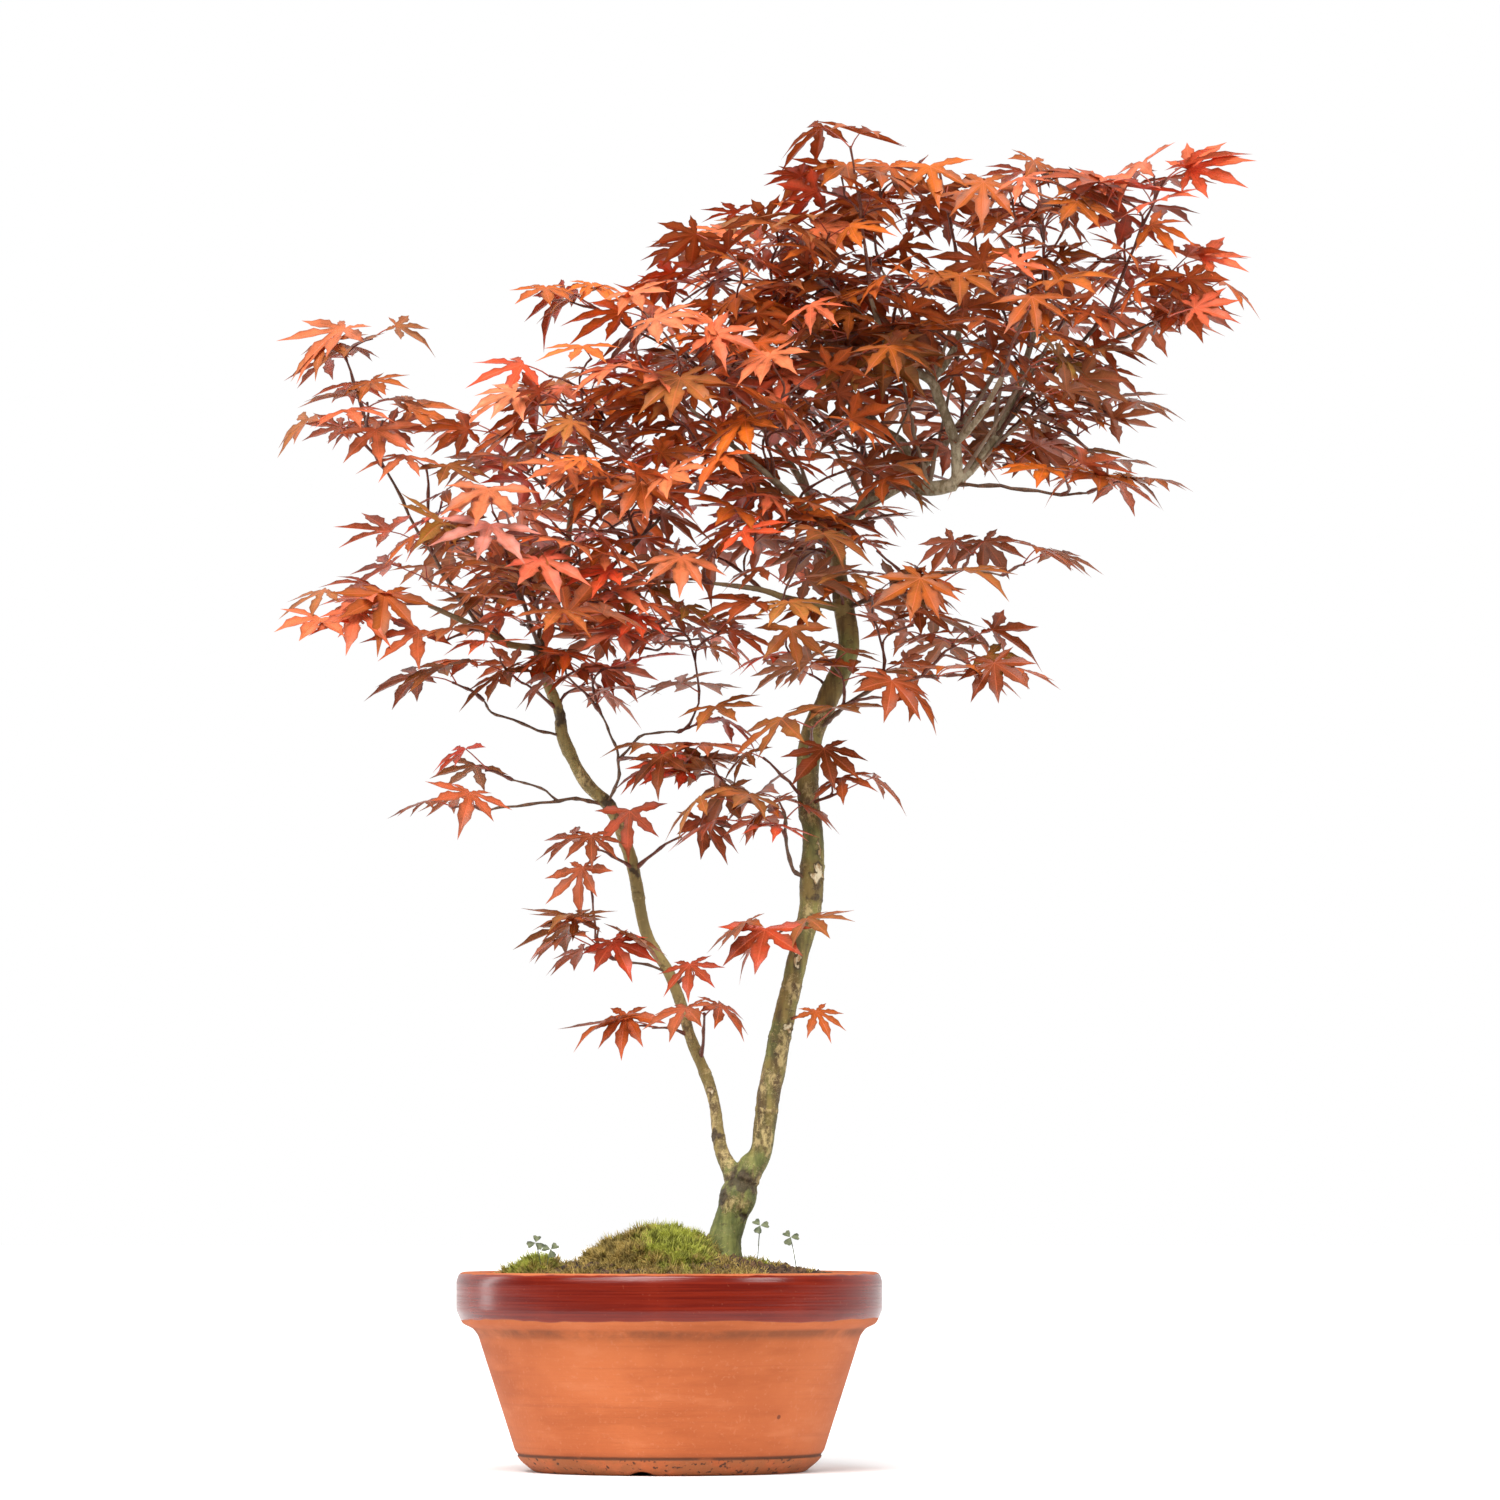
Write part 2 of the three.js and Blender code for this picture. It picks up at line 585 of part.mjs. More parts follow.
function seedling({ x, y, stems }, grown = 0) {
  const root = soilLevel(x, y) - CLOVER.rooted;
  const parts = stems.map(([leanX, leanY, rise]) => {
    const level = soilLevel(x, y) + rise;
    const stations = [
      [x, y, root, CLOVER.stem],
      [x + leanX * 0.6, y + leanY * 0.6, level - rise * 0.45, CLOVER.stem],
      [x + leanX, y + leanY, level, CLOVER.stem],
    ];
    const stem = solidOf(rod(stations, 4, grown));
    return grown ? stem : stem.add(trefoil(vector([x + leanX, y + leanY, level]), x + rise * 9));
  });
  return joined(parts);
}

// ---------- the tree ----------
const startOf = ({ on, at }) => BRANCHES[on].stations[at];

for (const branch of Object.values(BRANCHES)) {
  const parent = BRANCHES[branch.on];
  const first = parent ? [[...startOf(branch).slice(0, 3), branch.route[0][3]]] : [];
  branch.stations = [...first, ...branch.route];
  branch.sides = branch.sides ?? 5;
  // a twig of a leafy branch belongs to it; the rest is wood
  branch.root = branch.leafy ? branch : parent?.root;
}

function branchRod(branch, grown = 0) {
  return solidOf(rod(branch.stations, branch.sides, grown));
}

// A repeatable run of draws from 0 to 1, a new one for each leaf and each try at placing it.
function drawsFor(shoot, leaf, attempt) {
  let state = shoot * 7919 + leaf * 613 + attempt * 97 + 11;
  const draw = () => {
    state = (state * 1664525 + 1013904223) % 4294967296;
    return state / 4294967296;
  };
  draw();
  draw();
  return draw;
}

function shootCurve({ on, at, tip }) {
  const start = vector(startOf({ on, at }));
  const end = vector(tip);
  const middle = start.clone().lerp(end, 0.5);
  middle.z += STEM.arch * start.distanceTo(end);
  return new THREE.QuadraticBezierCurve3(start, middle, end);
}

function shootRod(shoot) {
  const stations = Array.from({ length: STEM.steps + 1 }, (_, step) => {
    const share = step / STEM.steps;
    const { x, y, z } = shoot.curve.getPoint(share);
    return [x, y, z, THREE.MathUtils.lerp(STEM.base, STEM.tip, share)];
  });
  return solidOf(rod(stations, STEM.sides));
}

const pointing = (heading, pitch) =>
  new THREE.Vector3(
    Math.cos(heading) * Math.cos(pitch),
    Math.sin(heading) * Math.cos(pitch),
    Math.sin(pitch),
  );

// Leaves stand in opposite pairs, the first of them at the shoot's tip, where an odd one stands alone.
// A leaf's stalk rises a little from the shoot, and its blade then hangs from the stalk's end.
function leafPose(shoot, leaf, attempt) {
  const draw = drawsFor(shoot.number, leaf, attempt);
  const odd = shoot.leaves % 2;
  const place = leaf + odd;
  const pair = Math.floor(place / 2);
  const hand = odd && leaf === 0 ? 0 : (place % 2) * 2 - 1;
  const run = vector(shoot.tip).sub(shoot.curve.v0);
  const steepness = Math.abs(run.z) / run.length();
  const back = LEAF.tipLength + pair * LEAF.pairSpacing + (hand > 0 ? LEAF.stagger : 0);
  const share = Math.max(1 - back / run.length(), 0.3);
  const node = shoot.curve.getPoint(share);
  const spread = (pair ? 60 : 32) * (1 + 0.7 * steepness);
  const heading = Math.atan2(run.y, run.x) + radians(hand * spread + 26 * (draw() - 0.5));
  const stalk = pointing(heading, radians(6 + 30 * draw()));
  const base = node.clone().addScaledVector(stalk, (14 + 12 * draw()) * shoot.size);
  const turned = heading + radians(34 * (draw() - 0.5));
  const axis = pointing(turned, radians((shoot.rise ?? 0) - 6 - 44 * draw()));
  const roll = radians(40 * (draw() - 0.5));
  const level = new THREE.Vector3(-Math.sin(turned), Math.cos(turned), 0);
  const above = axis.clone().cross(level);
  const side = level.clone().multiplyScalar(Math.cos(roll)).addScaledVector(above, Math.sin(roll));
  const up = axis.clone().cross(side);
  const length = (29 + 8 * draw()) * shoot.size;
  return { node, base, axis, side, up, length };
}

// The leaf's corners run round it from its stalk, and its triangles fan out from where the stalk joins.
function leafSolid(shoot, pose) {
  const half = shoot.size >= SEVEN_LOBED ? [...LOBES, ...BASAL_LOBE] : LOBES;
  const outline = [...half.slice(1).map(([turn, reach]) => [-turn, reach]).reverse(), ...half];
  const { node, base, axis, side, up, length } = pose;
  const blade = outline.map(([turn, reach]) => {
    const angle = radians(turn);
    const corner = base.clone().addScaledVector(axis, reach * length * Math.cos(angle));
    corner.addScaledVector(side, reach * length * Math.sin(angle));
    return corner.addScaledVector(up, -LEAF.droop * length * reach ** 2);
  });
  const stalk = base.clone().sub(node).normalize();
  const beside = side.clone().addScaledVector(stalk, -side.dot(stalk)).normalize();
  const over = stalk.clone().cross(beside);
  const neck = base.clone().addScaledVector(axis, -LEAF.stalk);
  const near = (by) => node.clone().addScaledVector(beside, (by * LEAF.stalkFoot) / 2);
  const far = (by) => neck.clone().addScaledVector(side, (by * LEAF.stalk) / 2);
  const corners = [base, far(-1), ...blade, far(1), near(1), near(-1)];
  const count = corners.length;
  const bladeLift = up.clone().multiplyScalar(LEAF.thickness / 2);
  const footLift = over.clone().multiplyScalar(LEAF.stalkFoot / 2);
  const liftOf = (index) => (index < count - 2 ? bladeLift : footLift);
  const upper = corners.map((corner, index) => corner.clone().add(liftOf(index)));
  const lower = corners.map((corner, index) => corner.clone().sub(liftOf(index)));
  const fan = Array.from({ length: count - 4 }, (_, index) => [0, index + 1, index + 2]);
  const face = [...fan, [0, count - 3, 1], [1, count - 3, count - 2], [1, count - 2, count - 1]];
  const under = face.map(([a, b, c]) => [a + count, c + count, b + count]);
  const rim = [];
  for (let index = 1; index < count; index += 1) {
    const next = index === count - 1 ? 1 : index + 1;
    rim.push([index, index + count, next + count], [index, next + count, next]);
  }
  return solidOf(bodyOf([...upper, ...lower], [...face, ...under, ...rim]));
}

function boxOf(solid) {
  const { min, max } = solid.boundingBox();
  return new THREE.Box3(vector(min), vector(max));
}

// Whether two items share more than the joint where two stalks of one shoot meet.
function meets(one, other) {
  if (!one.box.intersectsBox(other.box)) return false;
  return one.solid.intersect(other.solid).volume() > (one.shoot === other.shoot ? LEAF.joint : 0);
}

// Every leaf is tried in a few poses, and takes the first in which it touches nothing else.
function placeLeaves(shoots, obstacles) {
  const placed = [...obstacles];
  for (const shoot of shoots) {
    shoot.solids = [];
    for (let leaf = 0; leaf < shoot.leaves; leaf += 1) {
      for (let attempt = 0; attempt < LEAF.tries; attempt += 1) {
        const solid = leafSolid(shoot, leafPose(shoot, leaf, attempt));
        const item = { solid, box: boxOf(solid), shoot };
        if (placed.some((other) => meets(item, other))) continue;
        placed.push(item);
        shoot.solids.push(solid);
        break;
      }
    }
  }
}

function tree() {
  const branches = Object.values(BRANCHES);
  const limbs = branches.filter((branch) => !branch.root);
  const leafyBranches = branches.filter((branch) => branch.root);
  const wood = joined(limbs.map((branch) => branchRod(branch)));
  const grownWood = joined(limbs.map((branch) => branchRod(branch, CLEARANCE)));
  const shoots = SHOOTS.map((shoot, number) => ({ ...shoot, number, curve: shootCurve(shoot) }));

  const obstacles = [{ solid: grownWood, box: boxOf(grownWood) }];
  for (const branch of leafyBranches) {
    branch.solid = branchRod(branch).subtract(grownWood);
    obstacles.push({ solid: branch.solid, box: boxOf(branch.solid) });
  }
  for (const shoot of shoots) {
    shoot.stem = shootRod(shoot).subtract(grownWood);
    obstacles.push({ solid: shoot.stem, box: boxOf(shoot.stem), shoot });
  }
  placeLeaves(shoots, obstacles);

  // the shoots of one leafy branch are one body with it; any other is a body of its own
  const stems = new Map();
  const keep = (key, solids) => stems.set(key, [...(stems.get(key) ?? []), ...solids]);
  for (const branch of leafyBranches) keep(branch.root, [branch.solid]);
  for (const shoot of shoots) keep(BRANCHES[shoot.on].root ?? shoot, [shoot.stem, ...shoot.solids]);
  return { wood, grownWood, leafyStems: [...stems.values()].map(joined) };
}

// ---------- the assembly ----------
const group = new THREE.Group();

function place(name, solid, colour) {
  const mesh = new THREE.Mesh(geometryOf(solid), new THREE.MeshStandardMaterial(COLOURS[colour]));
  mesh.name = name;
  group.add(mesh);
}

const { wood, grownWood, leafyStems } = tree();
const standing = joined([grownWood, ...SEEDLINGS.map((item) => seedling(item, CLEARANCE))]);
const fill = soilFill();

place("pot", pot(), "terracotta");
place("drain_net", drainNet(), "net");
place("soil", fill.subtract(standing), "soil");
for (const moss of MOSS) place(moss.name, mossCushion(moss, fill, standing), "moss");
for (const item of SEEDLINGS) place(item.name, seedling(item), "seedling");
place("trunk_and_limbs", wood, "bark");
leafyStems.forEach((solid, index) => {
  place(`leafy_stem_${String(index + 1).padStart(2, "0")}`, solid, "leaves");
});

const middle = new THREE.Box3().setFromObject(group).getCenter(new THREE.Vector3());
group.position.set(-middle.x, -middle.y, 0);

export default group;
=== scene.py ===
# A red Japanese maple trained as a bonsai, in a round terracotta pot with a glazed rim.
# Lengths in the tables are millimetres from the pot's axis at the ground; the front faces -Y.
import json
import math

import bmesh
import bpy
from mathutils import Matrix, Vector, noise
from mathutils.kdtree import KDTree

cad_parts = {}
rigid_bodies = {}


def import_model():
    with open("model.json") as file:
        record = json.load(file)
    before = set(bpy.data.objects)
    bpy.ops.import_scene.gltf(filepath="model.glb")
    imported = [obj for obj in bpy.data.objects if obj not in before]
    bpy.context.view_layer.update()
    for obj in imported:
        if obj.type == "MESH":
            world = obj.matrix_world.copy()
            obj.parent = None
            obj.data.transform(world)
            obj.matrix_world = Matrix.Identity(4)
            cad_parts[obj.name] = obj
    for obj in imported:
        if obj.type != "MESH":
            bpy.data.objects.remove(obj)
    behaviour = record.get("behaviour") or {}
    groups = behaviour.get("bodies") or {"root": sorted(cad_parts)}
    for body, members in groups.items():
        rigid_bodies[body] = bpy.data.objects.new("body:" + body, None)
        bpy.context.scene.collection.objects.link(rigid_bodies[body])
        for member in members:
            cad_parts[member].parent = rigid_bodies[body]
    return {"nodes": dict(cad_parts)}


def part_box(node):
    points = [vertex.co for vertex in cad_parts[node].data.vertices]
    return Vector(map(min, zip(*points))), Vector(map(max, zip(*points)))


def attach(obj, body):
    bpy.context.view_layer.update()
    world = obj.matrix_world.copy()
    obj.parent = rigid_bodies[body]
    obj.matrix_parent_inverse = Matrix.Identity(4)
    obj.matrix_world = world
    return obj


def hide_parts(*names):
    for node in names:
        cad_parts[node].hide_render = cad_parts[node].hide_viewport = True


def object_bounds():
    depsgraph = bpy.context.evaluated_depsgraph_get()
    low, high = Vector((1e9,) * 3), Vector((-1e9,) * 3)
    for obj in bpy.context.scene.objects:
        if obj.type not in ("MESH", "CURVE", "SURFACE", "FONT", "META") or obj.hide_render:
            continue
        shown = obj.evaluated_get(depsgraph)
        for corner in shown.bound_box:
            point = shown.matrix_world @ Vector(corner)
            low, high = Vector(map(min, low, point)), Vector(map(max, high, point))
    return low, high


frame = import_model()
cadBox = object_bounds()

noise.seed_set(7)  # so that vectors of noise are the same in each run
mm = 0.001
potLow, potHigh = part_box("pot")
axis = Vector(((potLow.x + potHigh.x) / 2, (potLow.y + potHigh.y) / 2, 0))


def spot(x, y, z):
    return axis + Vector((x, y, z)) * mm


def drawsFrom(seed):
    # the same short run of draws that the part's source uses
    state = seed

    def draw():
        nonlocal state
        state = (state * 1664525 + 1013904223) % 4294967296
        return state / 4294967296

    draw()
    draw()
    return draw


def feed(socket, value):
    if isinstance(value, bpy.types.NodeSocket):
        socket.id_data.links.new(value, socket)
    else:
        socket.default_value = value


def addNode(near, kind, sockets=None, output=0, **settings):
    # adds a node to the tree that a socket is in, and hands back one of its outputs
    node = near.id_data.nodes.new(kind)
    for name, value in settings.items():
        setattr(node, name, value)
    for name, value in (sockets or {}).items():
        feed(node.inputs[name], value)
    return node.outputs[output]


def paint(red, green, blue):
    # a colour as seen on a screen, made linear
    return (*[((part / 255 + 0.055) / 1.055) ** 2.4 for part in (red, green, blue)], 1)


def calc(operation, first, second=0.0):
    return addNode(first, "ShaderNodeMath", {0: first, 1: second}, operation=operation)


def times(first, *others):
    for other in others:
        first = calc("MULTIPLY", first, other)
    return first


def plus(first, *others):
    for other in others:
        first = calc("ADD", first, other)
    return first


def swing(value, reach):
    # a value from 0 to 1, spread to both sides of 0
    return times(plus(value, -0.5), reach)


def between(value, low, high):
    # runs softly from 0 to 1 as the value goes from low to high
    sockets = {"Value": value, "From Min": low, "From Max": high}
    return addNode(value, "ShaderNodeMapRange", sockets, interpolation_type="SMOOTHSTEP")


def belt(value, start, full, fade, end):
    # strong between two values, with a soft edge on each side
    return times(between(value, start, full), between(value, end, fade))


def ranged(value, low, high):
    # a share from 0 to 1 spread between two values
    return addNode(value, "ShaderNodeMapRange", {"Value": value, "To Min": low, "To Max": high})


def blend(share, first, second, mode="MIX"):
    # mixes two colours, each a socket or three numbers as seen on a screen
    near = share if isinstance(share, bpy.types.NodeSocket) else first
    first, second = [paint(*tone) if isinstance(tone, tuple) else tone for tone in (first, second)]
    sockets = {0: share, 6: first, 7: second}
    return addNode(near, "ShaderNodeMix", sockets, 2, data_type="RGBA", blend_type=mode)


def washes(colour, *rows):
    # lays tones over a colour; each row has where it goes, how strong it is and its tone
    for mask, strength, tone in rows:
        colour = blend(times(mask, strength), colour, tone)
    return colour


def clouds(place, scale, detail=3, rough=0.55, stretch=(1, 1, 1)):
    moved = addNode(place, "ShaderNodeMapping", {"Vector": place, "Scale": stretch})
    sockets = {"Vector": moved, "Scale": scale, "Detail": detail, "Roughness": rough}
    return addNode(place, "ShaderNodeTexNoise", sockets)


def reading(place, name, output="Fac"):
    return addNode(place, "ShaderNodeAttribute", output=output, attribute_name=name)


def partOf(vector, part):
    return addNode(vector, "ShaderNodeSeparateXYZ", {"Vector": vector}, part)


def relief(height, distance):
    return addNode(height, "ShaderNodeBump", {"Height": height, "Distance": distance, "Strength": 1.0})


def startMaterial(name):
    material = bpy.data.materials.new(name)
    material.use_nodes = True
    material.node_tree.nodes.clear()
    return material, addNode(material.node_tree, "ShaderNodeTexCoord", output="Object")


def surfaced(material, colour, sockets, through=0, glow=None):
    # ends a material; through is the share of light that passes a thin piece
    tree = material.node_tree
    shader = addNode(tree, "ShaderNodeBsdfPrincipled", {"Base Color": colour, **sockets})
    if through:
        lit = addNode(tree, "ShaderNodeBsdfTranslucent", {"Color": glow or colour})
        shader = addNode(tree, "ShaderNodeMixShader", {"Fac": through, 1: shader, 2: lit})
    feed(tree.nodes.new("ShaderNodeOutputMaterial").inputs["Surface"], shader)
    return material


def meshPiece(name, corners, faces, smooth=True, edges=()):
    mesh = bpy.data.meshes.new(name)
    mesh.from_pydata(corners, edges, faces)
    mesh.polygons.foreach_set("use_smooth", [smooth] * len(faces))
    piece = bpy.data.objects.new(name, mesh)
    bpy.context.scene.collection.objects.link(piece)
    return piece


def copyOf(piece, name):
    twin = piece.copy()
    twin.data = piece.data.copy()
    twin.name = name
    bpy.context.scene.collection.objects.link(twin)
    return twin


def ringFaces(rings, around, looped=False):
    # the skin over rings of corners, with a face over each end or with its ends joined
    faces = []
    for ring in range(rings if looped else rings - 1):
        low, high = ring * around, (ring + 1) % rings * around
        for side in range(around):
            ahead = (side + 1) % around
            faces.append((low + side, low + ahead, high + ahead, high + side))
    if not looped:
        faces += [tuple(reversed(range(around))), tuple(range((rings - 1) * around, rings * around))]
    return faces


def ringed(name, rows, around, placeOf, looped=False):
    # a piece made of rings; placeOf makes a place from a row's two values and a turn about the axis
    turns = [2 * math.pi * side / around for side in range(around)]
    corners = [placeOf(*row, turn) for row in rows for turn in turns]
    return meshPiece(name, corners, ringFaces(len(rows), around, looped))


def join(corners, faces, newCorners, newFaces):
    first = len(corners)
    corners += newCorners
    faces += [tuple(first + number for number in face) for face in newFaces]


def setValues(piece, name, values, kind="FLOAT", domain="POINT"):
    # one value, or one row of values, for each point or face
    field = {"FLOAT_VECTOR": "vector", "FLOAT_COLOR": "color"}.get(kind, "value")
    flat = values if field == "value" else [part for row in values for part in row]
    piece.data.attributes.new(name, kind, domain).data.foreach_set(field, flat)


def nearestOf(places):
    tree = KDTree(len(places))
    for index, place in enumerate(places):
        tree.insert(place, index)
    tree.balance()
    return tree


def startTree(name, **sizes):
    # a Geometry Nodes tree with the geometry and its named sizes, each of its kind, as inputs
    tree = bpy.data.node_groups.new(name, "GeometryNodeTree")
    for way in ("INPUT", "OUTPUT"):
        tree.interface.new_socket("Geometry", in_out=way, socket_type="NodeSocketGeometry")
    for label, kind in sizes.items():
        tree.interface.new_socket(label, in_out="INPUT", socket_type="NodeSocket" + kind)
    return tree.nodes.new("NodeGroupInput").outputs


def stored(near, name, kind="FLOAT"):
    # reads a named attribute inside a Geometry Nodes tree
    return addNode(near, "GeometryNodeInputNamedAttribute", {"Name": name}, data_type=kind)


def copiesAt(points, given, sockets):
    # copies one of the patterns to each point
    pattern = addNode(points, "GeometryNodeCollectionInfo", {
        "Collection": given["Patterns"], "Separate Children": True, "Reset Children": True,
    })
    return addNode(points, "GeometryNodeInstanceOnPoints", {
        "Points": points, "Instance": pattern, "Pick Instance": True, **sockets,
    })


def endTree(geometry, given):
    # what the tree has made becomes one mesh of one finish
    real = addNode(geometry, "GeometryNodeRealizeInstances", {"Geometry": geometry})
    sockets = {"Geometry": real, "Material": given["Finish"]}
    tree = geometry.id_data
    feed(tree.nodes.new("NodeGroupOutput").inputs[0], addNode(real, "GeometryNodeSetMaterial", sockets))
    return tree


def freeze(piece):
    # applies the piece's modifiers
    graph = bpy.context.evaluated_depsgraph_get()
    done = piece.evaluated_get(graph)
    mesh = bpy.data.meshes.new_from_object(done, preserve_all_data_layers=True, depsgraph=graph)
    piece.modifiers.clear()
    piece.data = mesh


def grow(piece, tree, sizes):
    # runs the tree on the piece, and keeps what it makes as the piece's plain mesh
    modifier = piece.modifiers.new(tree.name, "NODES")
    modifier.node_group = tree
    for item in tree.interface.items_tree:
        if item.in_out == "INPUT" and item.name in sizes:
            modifier[item.identifier] = sizes[item.name]
    freeze(piece)


def gather(name, patterns):
    # puts patterns in a collection of their own, for Geometry Nodes to copy from
    collection = bpy.data.collections.new(name)
    bpy.context.scene.collection.children.link(collection)
    for pattern in patterns:
        bpy.context.scene.collection.objects.unlink(pattern)
        collection.objects.link(pattern)
    return collection


def discard(collection):
    for pattern in list(collection.objects):
        bpy.data.objects.remove(pattern)
    bpy.data.collections.remove(collection)


def settle(piece, slot, *nodes):
    # the plant is one body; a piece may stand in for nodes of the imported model
    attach(piece, "root")
    if nodes:
        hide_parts(*nodes)
    print(piece.name + ":", len(piece.data.polygons), "faces")


pot = {
    "profile": [
        (12, 4), (72, 4), (73, 0), (81, 0), (84, 2.4), (88.4, 6), (91, 9.2), (90.1, 10), (92.2, 12.6),
        (114, 81), (117, 85), (123.3, 88), (127, 96), (127, 113), (125.6, 117.4), (122.5, 119),
        (116.5, 116.6), (108, 91), (105, 79), (86, 17), (80, 12), (12, 12),
    ],
    "around": 288,
    "edgeRadius": 1.4,
    "edgeSteps": 3,
    "longest": 6,  # of the steps along the profile
    "wobble": 0.35,
    "notches": 3,
    "notchFirst": -101,  # degrees
    "notchWidth": 16,
    "notchHeight": 2.4,
    "footRadius": 81,
    "rimRadius": 127,
    "glazeFoot": 91,
    "glazeTop": 117.6,
    "glazeInside": 119.4,  # the glaze ends at this radius inside the rim
    "clay": ((166, 85, 42), (180, 97, 52)),
    "glaze": ((86, 13, 1), (114, 26, 4)),
    "underBand": (0.0775, 0.0835, 0.0845, 0.0868),  # metres up: where the dirt and painted shade under the band's lip start, are full, fade and end
    "groove": (0.0086, 0.0098, 0.0104, 0.012),
}


def roundedLine(profile, radius, steps, longest):
    # the closed profile with its corners rounded and its long stretches split
    line = []
    for index, point in enumerate(profile):
        corner = Vector(point)
        back = Vector(profile[index - 1]) - corner
        ahead = Vector(profile[(index + 1) % len(profile)]) - corner
        start = corner + back.normalized() * min(radius, back.length * 0.45)
        end = corner + ahead.normalized() * min(radius, ahead.length * 0.45)
        for step in range(steps + 1):
            share = step / steps
            line.append(start.lerp(corner, share).lerp(corner.lerp(end, share), share))
    split = []
    for index, point in enumerate(line):
        ahead = line[(index + 1) % len(line)]
        pieces = max(1, math.ceil((ahead - point).length / longest))
        split += [point.lerp(ahead, step / pieces) for step in range(pieces)]
    return split


def clayMaterial():
    material, place = startMaterial("terracotta and glaze")
    height = partOf(place, 2)
    middle = addNode(place, "ShaderNodeMapping", {"Vector": place, "Location": tuple(-axis)})
    flat = addNode(place, "ShaderNodeMapping", {"Vector": middle, "Scale": (1, 1, 0)})
    out = addNode(place, "ShaderNodeVectorMath", {0: flat}, "Value", operation="LENGTH")
    # bare clay: soft orange clouds, smears, turning lines, fine grain and a few dark pits
    fine = clouds(place, 420)
    lines = clouds(middle, 55, 4, 0.65, (0.12, 0.12, 7))
    smears = clouds(middle, 26, 4, 0.6, (0.5, 0.5, 2.2))
    patchy = clouds(place, 45, 5, 0.62)
    foot = between(height, 0.0108, 0.0085)
    pits = between(addNode(place, "ShaderNodeTexVoronoi", {"Vector": place, "Scale": 26}), 0.045, 0.025)
    clay = washes(
        blend(between(clouds(place, 14, 4), 0.35, 0.68), *pot["clay"]),
        (between(smears, 0.5, 0.66), 0.45, (150, 72, 30)),
        (between(smears, 0.46, 0.34), 0.4, (190, 111, 70)),
        (between(lines, 0.5, 0.75), 0.3, (146, 71, 37)),
        (between(fine, 0.58, 0.7), 0.25, (190, 121, 88)),
        # dirt and painted shade under the band's lip, worn dirt on the foot, and dark patches in the groove
        (times(belt(height, *pot["underBand"]), between(patchy, 0.28, 0.6)), 0.75, (110, 60, 34)),
        (times(foot, between(clouds(place, 70, 5, 0.65), 0.36, 0.56)), 0.42, (120, 80, 44)),
        (times(foot, between(clouds(place, 260), 0.58, 0.66)), 0.85, (42, 28, 20)),
        (times(belt(height, *pot["groove"]), between(patchy, 0.15, 0.45)), 0.85, (58, 32, 18)),
        (pits, 0.75, (84, 38, 24)),
    )
    # the glaze: dark red brown, streaked round the band, thinner where it ends
    soft = 0.4 * mm
    low, top, inside = [pot[name] * mm for name in ("glazeFoot", "glazeTop", "glazeInside")]
    edge = plus(height, swing(clouds(place, 17), 0.007))
    ragged = plus(height, swing(clouds(place, 60, 4), 0.0022))
    glazed = times(between(edge, low - soft, low + soft), between(ragged, top + soft, top - soft),
                   between(out, inside - soft, inside + soft))
    streaks = clouds(middle, 95, 5, 0.7, (0.08, 0.08, 7))
    glaze = washes(
        blend(between(streaks, 0.34, 0.68), *pot["glaze"]),
        (between(clouds(place, 18), 0.45, 0.7), 0.45, (126, 34, 12)),
        (between(clouds(place, 360, 2), 0.68, 0.74), 0.25, (140, 74, 52)),
        (between(edge, low + 0.0022, low + 0.0002), 0.3, (140, 50, 22)),
    )
    sheen = plus(times(streaks, 0.16), 0.16)
    roughness = addNode(place, "ShaderNodeMix", {0: glazed, 2: 0.78, 3: sheen}, data_type="FLOAT")
    bumps = plus(times(fine, ranged(glazed, 1.0, 0.06)), times(lines, ranged(glazed, 1.4, 0.9)),
                 times(glazed, 1.2), times(pits, -1.5))
    return surfaced(material, blend(glazed, clay, glaze), {
        "Roughness": roughness, "Normal": relief(bumps, 0.00022), "Specular IOR Level": 0.36,
    })


def makePot():
    def placeOf(radius, z, turn):
        # no thrown pot is quite round
        sway = pot["wobble"] * (math.sin(2 * turn + 0.6) + 0.5 * math.sin(3 * turn + 2 + z / 40))
        radius *= 1 + sway / pot["rimRadius"] * min(z / 60, 1)
        if z < pot["notchHeight"] + 2:
            # low arches in the standing ring let water out
            gap = 2 * math.pi / pot["notches"]
            reach = (turn - math.radians(pot["notchFirst"])) % gap
            away = min(reach, gap - reach) * pot["footRadius"]
            arch = pot["notchHeight"] * max(0, 1 - (2 * away / pot["notchWidth"]) ** 2)
            z = max(z, arch + 0.25 * z)
        return spot(radius * math.cos(turn), radius * math.sin(turn), z)

    line = roundedLine(pot["profile"], pot["edgeRadius"], pot["edgeSteps"], pot["longest"])
    piece = ringed("clay_pot", line, pot["around"], placeOf, looped=True)
    piece.data.materials.append(clayMaterial())
    settle(piece, "terracotta", "pot")
